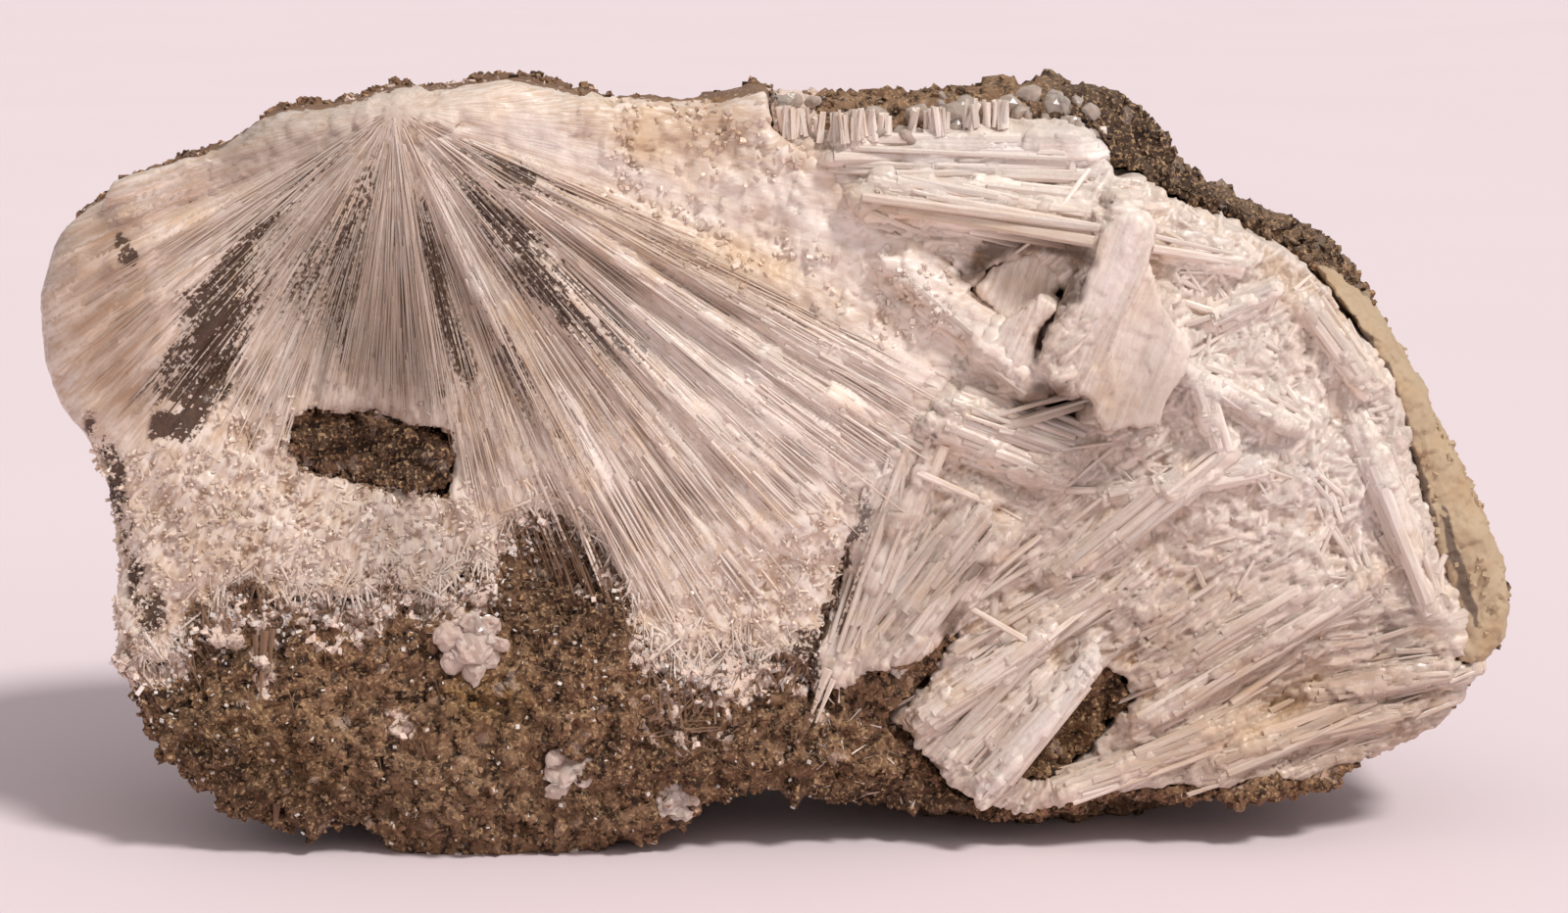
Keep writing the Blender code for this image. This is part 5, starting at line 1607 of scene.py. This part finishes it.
class OBJECT_OT_strontianite_needles(StrontianiteOperator, bpy.types.Operator):
    """White needles strewn on the host rock and hanging from the crystals' lower edge"""

    bl_idname = "object.strontianite_needles"
    bl_label = "Rock Needles"

    def execute(self, context):
        rng = np.random.default_rng(self.settings.seed + 3)
        items = []
        for _ in range(800):
            x = rng.uniform(-67.0, 3.0)
            foot = float(edge_height(ROCK_EDGE, x))
            z = foot + rng.normal(1.0, 1.4)
            angle = math.radians(rng.normal(-90.0, 35.0))
            length = rng.uniform(1.2, 4.2)
            end = (x + math.cos(angle) * length, z + math.sin(angle) * length)
            wide = rng.uniform(0.15, 0.5)
            items.append(laid((x, z), end, wide, wide * 0.7, 0.15, rng.random(), rng.random()))
        for _ in range(900):
            x, z = rng.uniform(-66.0, 14.0), rng.uniform(1.0, 32.0)
            if z > float(edge_height(ROCK_EDGE, x)) or (x > 4.0 and z > 17.0):
                continue
            angle = rng.uniform(0.0, 2.0 * math.pi)
            length = rng.uniform(0.6, 2.0)
            end = (x + math.cos(angle) * length, z + math.sin(angle) * length)
            wide = rng.uniform(0.08, 0.26)
            items.append(laid((x, z), end, wide, wide, 0.12, rng.random(), rng.random()))
        # the lattice of thin plates beside the lower tuft, and the long sliver at the seam's foot
        for _ in range(46):
            x, z = -11.2 + rng.normal(0.0, 1.9), 15.1 + rng.normal(0.0, 1.2)
            angle = math.radians(rng.choice((12.0, 100.0, 55.0)) + rng.normal(0.0, 8.0))
            length = rng.uniform(1.5, 4.0)
            end = (x + math.cos(angle) * length, z + math.sin(angle) * length)
            items.append(laid((x, z), end, 0.35, 0.16, 0.55, rng.random(), 0.9))
        for start, end, wide in (
            ((4.7, 20.0), (2.9, 15.0), 1.1), ((2.9, 15.2), (1.4, 11.6), 1.3),
            ((5.2, 19.0), (3.4, 14.4), 0.7),
            ((-53.6, 24.0), (-53.9, 17.6), 1.0), ((-52.8, 24.2), (-53.2, 19.4), 0.8),
            ((-54.6, 23.6), (-54.4, 18.6), 0.7), ((-52.6, 6.0), (-52.9, 3.4), 1.0),
        ):
            items.append(laid(start, end, wide, wide * 0.5, 0.5, 0.3, 0.8))
        lay_crystals("rock_needles", items, material_of("bladed"), "bladed_strontianite", sides=5, tip=0.3)
        return {"FINISHED"}


class OBJECT_OT_strontianite_crust(StrontianiteOperator, bpy.types.Operator):
    """Smoky lumps and upright crystals in the dark crust along the top edge"""

    bl_idname = "object.strontianite_crust"
    bl_label = "Top Crust Crystals"

    def execute(self, context):
        rng = np.random.default_rng(self.settings.seed + 4)
        lumps = bmesh.new()
        for x, z, radius in CRUST_LUMPS:
            here = on_face(x, z - 0.8)
            if here is None:
                continue
            for _ in range(4):
                size = radius * rng.uniform(0.4, 0.75)
                spot = here[0] + Vector(rng.normal(0.0, 0.45, 3) * radius) + Vector((0.0, 0.6, -0.3))
                shape = Matrix.Diagonal((size * 1.2, size * 0.8, size, 1.0))
                spin = Matrix.Rotation(rng.uniform(0, 6.28), 4, Vector(rng.normal(0, 1, 3)).normalized())
                place = Matrix.Scale(MM, 4) @ Matrix.Translation(spot) @ spin @ shape
                bmesh.ops.create_icosphere(lumps, subdivisions=2, radius=1.0, matrix=place)
        data = bpy.data.meshes.new("crust_lumps")
        lumps.to_mesh(data)
        lumps.free()
        co, normals = coordinates(data)
        co += normals * (0.4 * noise(co, 0.9, 61))[:, None]
        co[:, 2] = np.minimum(co[:, 2], CAD_BOX[1][2] / MM + 0.5)
        move(data, co)
        finish_piece("crust_lumps", data, material_of("smoky"), "bladed_strontianite")
        items = []
        for x, z, spread, count, length in EDGE_TUFTS:
            for _ in range(count):
                px = x + rng.uniform(-spread, spread)
                here = on_face(px, z - 1.2)
                if here is None:
                    continue
                spot = Vector((px, here[0].y + rng.uniform(-0.5, 0.3), z))
                turn = Euler((rng.normal(0.0, 0.12), rng.normal(0.0, 0.14), rng.uniform(0.0, 3.0)))
                wide = rng.uniform(0.3, 0.6)
                scale = (wide, wide * 0.6, length * rng.uniform(0.6, 1.1))
                items.append((spot, turn, scale, rng.random()))
        lay_crystals("edge_tufts", items, material_of("bladed"), "bladed_strontianite", tip=0.85)
        return {"FINISHED"}


class OBJECT_OT_strontianite_tufts(StrontianiteOperator, bpy.types.Operator):
    """The tufts of rounded plates on the host rock"""

    bl_idname = "object.strontianite_tufts"
    bl_label = "Rosettes"

    def execute(self, context):
        rng = np.random.default_rng(self.settings.seed + 5)
        for node, x, z, radius, plates in TUFTS:
            low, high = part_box(node)
            depth = low[1] / MM + 0.3
            made = bmesh.new()
            for i in range(plates):
                angle = 2.0 * math.pi * i / max(1, plates - 1) + rng.normal(0.0, 0.25)
                away = 0.0 if i == 0 else radius * rng.uniform(0.7, 1.0)
                size = radius * (0.9 if i == 0 else rng.uniform(0.5, 0.8))
                spot = Vector((x + away * math.cos(angle), depth + 0.7, z + away * math.sin(angle)))
                lean = Matrix.Rotation(rng.normal(0.0, 0.4), 4, "X")
                lean = lean @ Matrix.Rotation(rng.normal(0.0, 0.4), 4, "Z")
                shape = Matrix.Diagonal((size, size * 0.5, size * rng.uniform(0.8, 1.2), 1.0))
                place = Matrix.Scale(MM, 4) @ Matrix.Translation(spot) @ lean @ shape
                bmesh.ops.create_icosphere(made, subdivisions=3, radius=1.0, matrix=place)
            data = bpy.data.meshes.new(node)
            made.to_mesh(data)
            made.free()
            co, normals = coordinates(data)
            ragged = 0.5 * facets(co, 1.5, 71) + 0.22 * facets(co, 0.7, 72)
            co += normals * ragged[:, None]
            move(data, co)
            finish_piece(node + "_plates", data, material_of("clear"), "bladed_strontianite", node)
        return {"FINISHED"}


class SCENE_OT_strontianite_stage(StrontianiteOperator, bpy.types.Operator):
    """The pale floor, the soft light and the camera"""

    bl_idname = "scene.strontianite_stage"
    bl_label = "Stage"

    def execute(self, context):
        mesh = bmesh.new()
        bmesh.ops.create_grid(mesh, x_segments=1, y_segments=1, size=6.0)
        data = bpy.data.meshes.new("floor")
        mesh.to_mesh(data)
        mesh.free()
        floor = bpy.data.objects.new("floor", data)
        context.scene.collection.objects.link(floor)
        material, tree, shader = start_material("matt drawing paper")
        spot = add(tree, "ShaderNodeTexCoord").outputs["Object"]
        cloud = add(tree, "ShaderNodeTexNoise", {"Vector": spot, "Scale": 9.0, "Detail": 3.0}).outputs[0]
        pale = (*self.settings.floor_colour, 1.0)
        soft = tuple(0.96 * c for c in self.settings.floor_colour)
        colour = add(tree, "ShaderNodeMix", {0: cloud, 6: pale, 7: (*soft, 1.0)}, data_type="RGBA")
        tree.links.new(colour.outputs[2], shader.inputs["Base Color"])
        shader.inputs["Roughness"].default_value = 0.9
        floor.data.materials.append(material)

        world = context.scene.world or bpy.data.worlds.new("soft room")
        context.scene.world = world
        world.use_nodes = True
        world.node_tree.nodes["Background"].inputs[0].default_value = (1.0, 0.97, 0.98, 1.0)
        world.node_tree.nodes["Background"].inputs[1].default_value = 0.5
        sun = bpy.data.lights.new("window", "SUN")
        sun.energy = 2.4
        sun.angle = math.radians(12.0)
        sun.color = (0.985, 0.98, 0.955)
        lamp = bpy.data.objects.new("window", sun)
        lamp.rotation_euler = Vector((-0.42, 0.42, -0.78)).to_track_quat("-Z", "Y").to_euler()
        context.scene.collection.objects.link(lamp)
        fill = bpy.data.lights.new("fill", "AREA")
        fill.energy = 0.5
        fill.size = 0.6
        lamp = bpy.data.objects.new("fill", fill)
        lamp.location = (0.45, -0.75, 0.35)
        lamp.rotation_euler = Vector((-0.45, 0.75, -0.31)).to_track_quat("-Z", "Y").to_euler()
        context.scene.collection.objects.link(lamp)
        context.scene.view_settings.view_transform = "Standard"

        camera = bpy.data.cameras.new("camera")
        camera.lens = 85.0
        camera.sensor_width = 36.0
        camera.clip_start = 0.01
        eye = bpy.data.objects.new("camera", camera)
        eye.location = (0.00012, -0.39726, 0.10826)
        eye.rotation_euler = (math.radians(80.0), 0.0, 0.0)
        context.scene.collection.objects.link(eye)
        context.scene.camera = eye
        return {"FINISHED"}


class VIEW3D_PT_strontianite(bpy.types.Panel):
    """Lists the specimen's pieces"""

    bl_label = "Strontianite cluster"
    bl_space_type = "VIEW_3D"
    bl_region_type = "UI"
    bl_category = "Specimen"

    def draw(self, context):
        layout = self.layout
        settings = context.scene.strontianite
        for name in settings.bl_rna.properties.keys():
            if name not in ("rna_type", "name"):
                layout.prop(settings, name)
        for operator in OPERATORS:
            layout.operator(operator.bl_idname)


OPERATORS = (
    SCENE_OT_strontianite_stage,
    OBJECT_OT_strontianite_rock,
    OBJECT_OT_strontianite_fan_body,
    OBJECT_OT_strontianite_blade_body,
    OBJECT_OT_strontianite_rind,
    OBJECT_OT_strontianite_plates,
    OBJECT_OT_strontianite_fibres,
    OBJECT_OT_strontianite_blades,
    OBJECT_OT_strontianite_filler,
    OBJECT_OT_strontianite_sugar,
    OBJECT_OT_strontianite_crumbs,
    OBJECT_OT_strontianite_needles,
    OBJECT_OT_strontianite_crust,
    OBJECT_OT_strontianite_tufts,
)
CLASSES = (StrontianiteSettings, *OPERATORS, VIEW3D_PT_strontianite)


def register():
    """Registers the specimen's classes and its settings."""
    for cls in CLASSES:
        bpy.utils.register_class(cls)
    bpy.types.Scene.strontianite = PointerProperty(type=StrontianiteSettings)


def unregister():
    """Removes them again."""
    del bpy.types.Scene.strontianite
    for cls in reversed(CLASSES):
        bpy.utils.unregister_class(cls)


def main():
    """Builds the whole specimen."""
    register()
    for operator in OPERATORS:
        group, name = operator.bl_idname.split(".")
        getattr(getattr(bpy.ops, group), name)()
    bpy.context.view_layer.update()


if __name__ == "__main__":
    main()
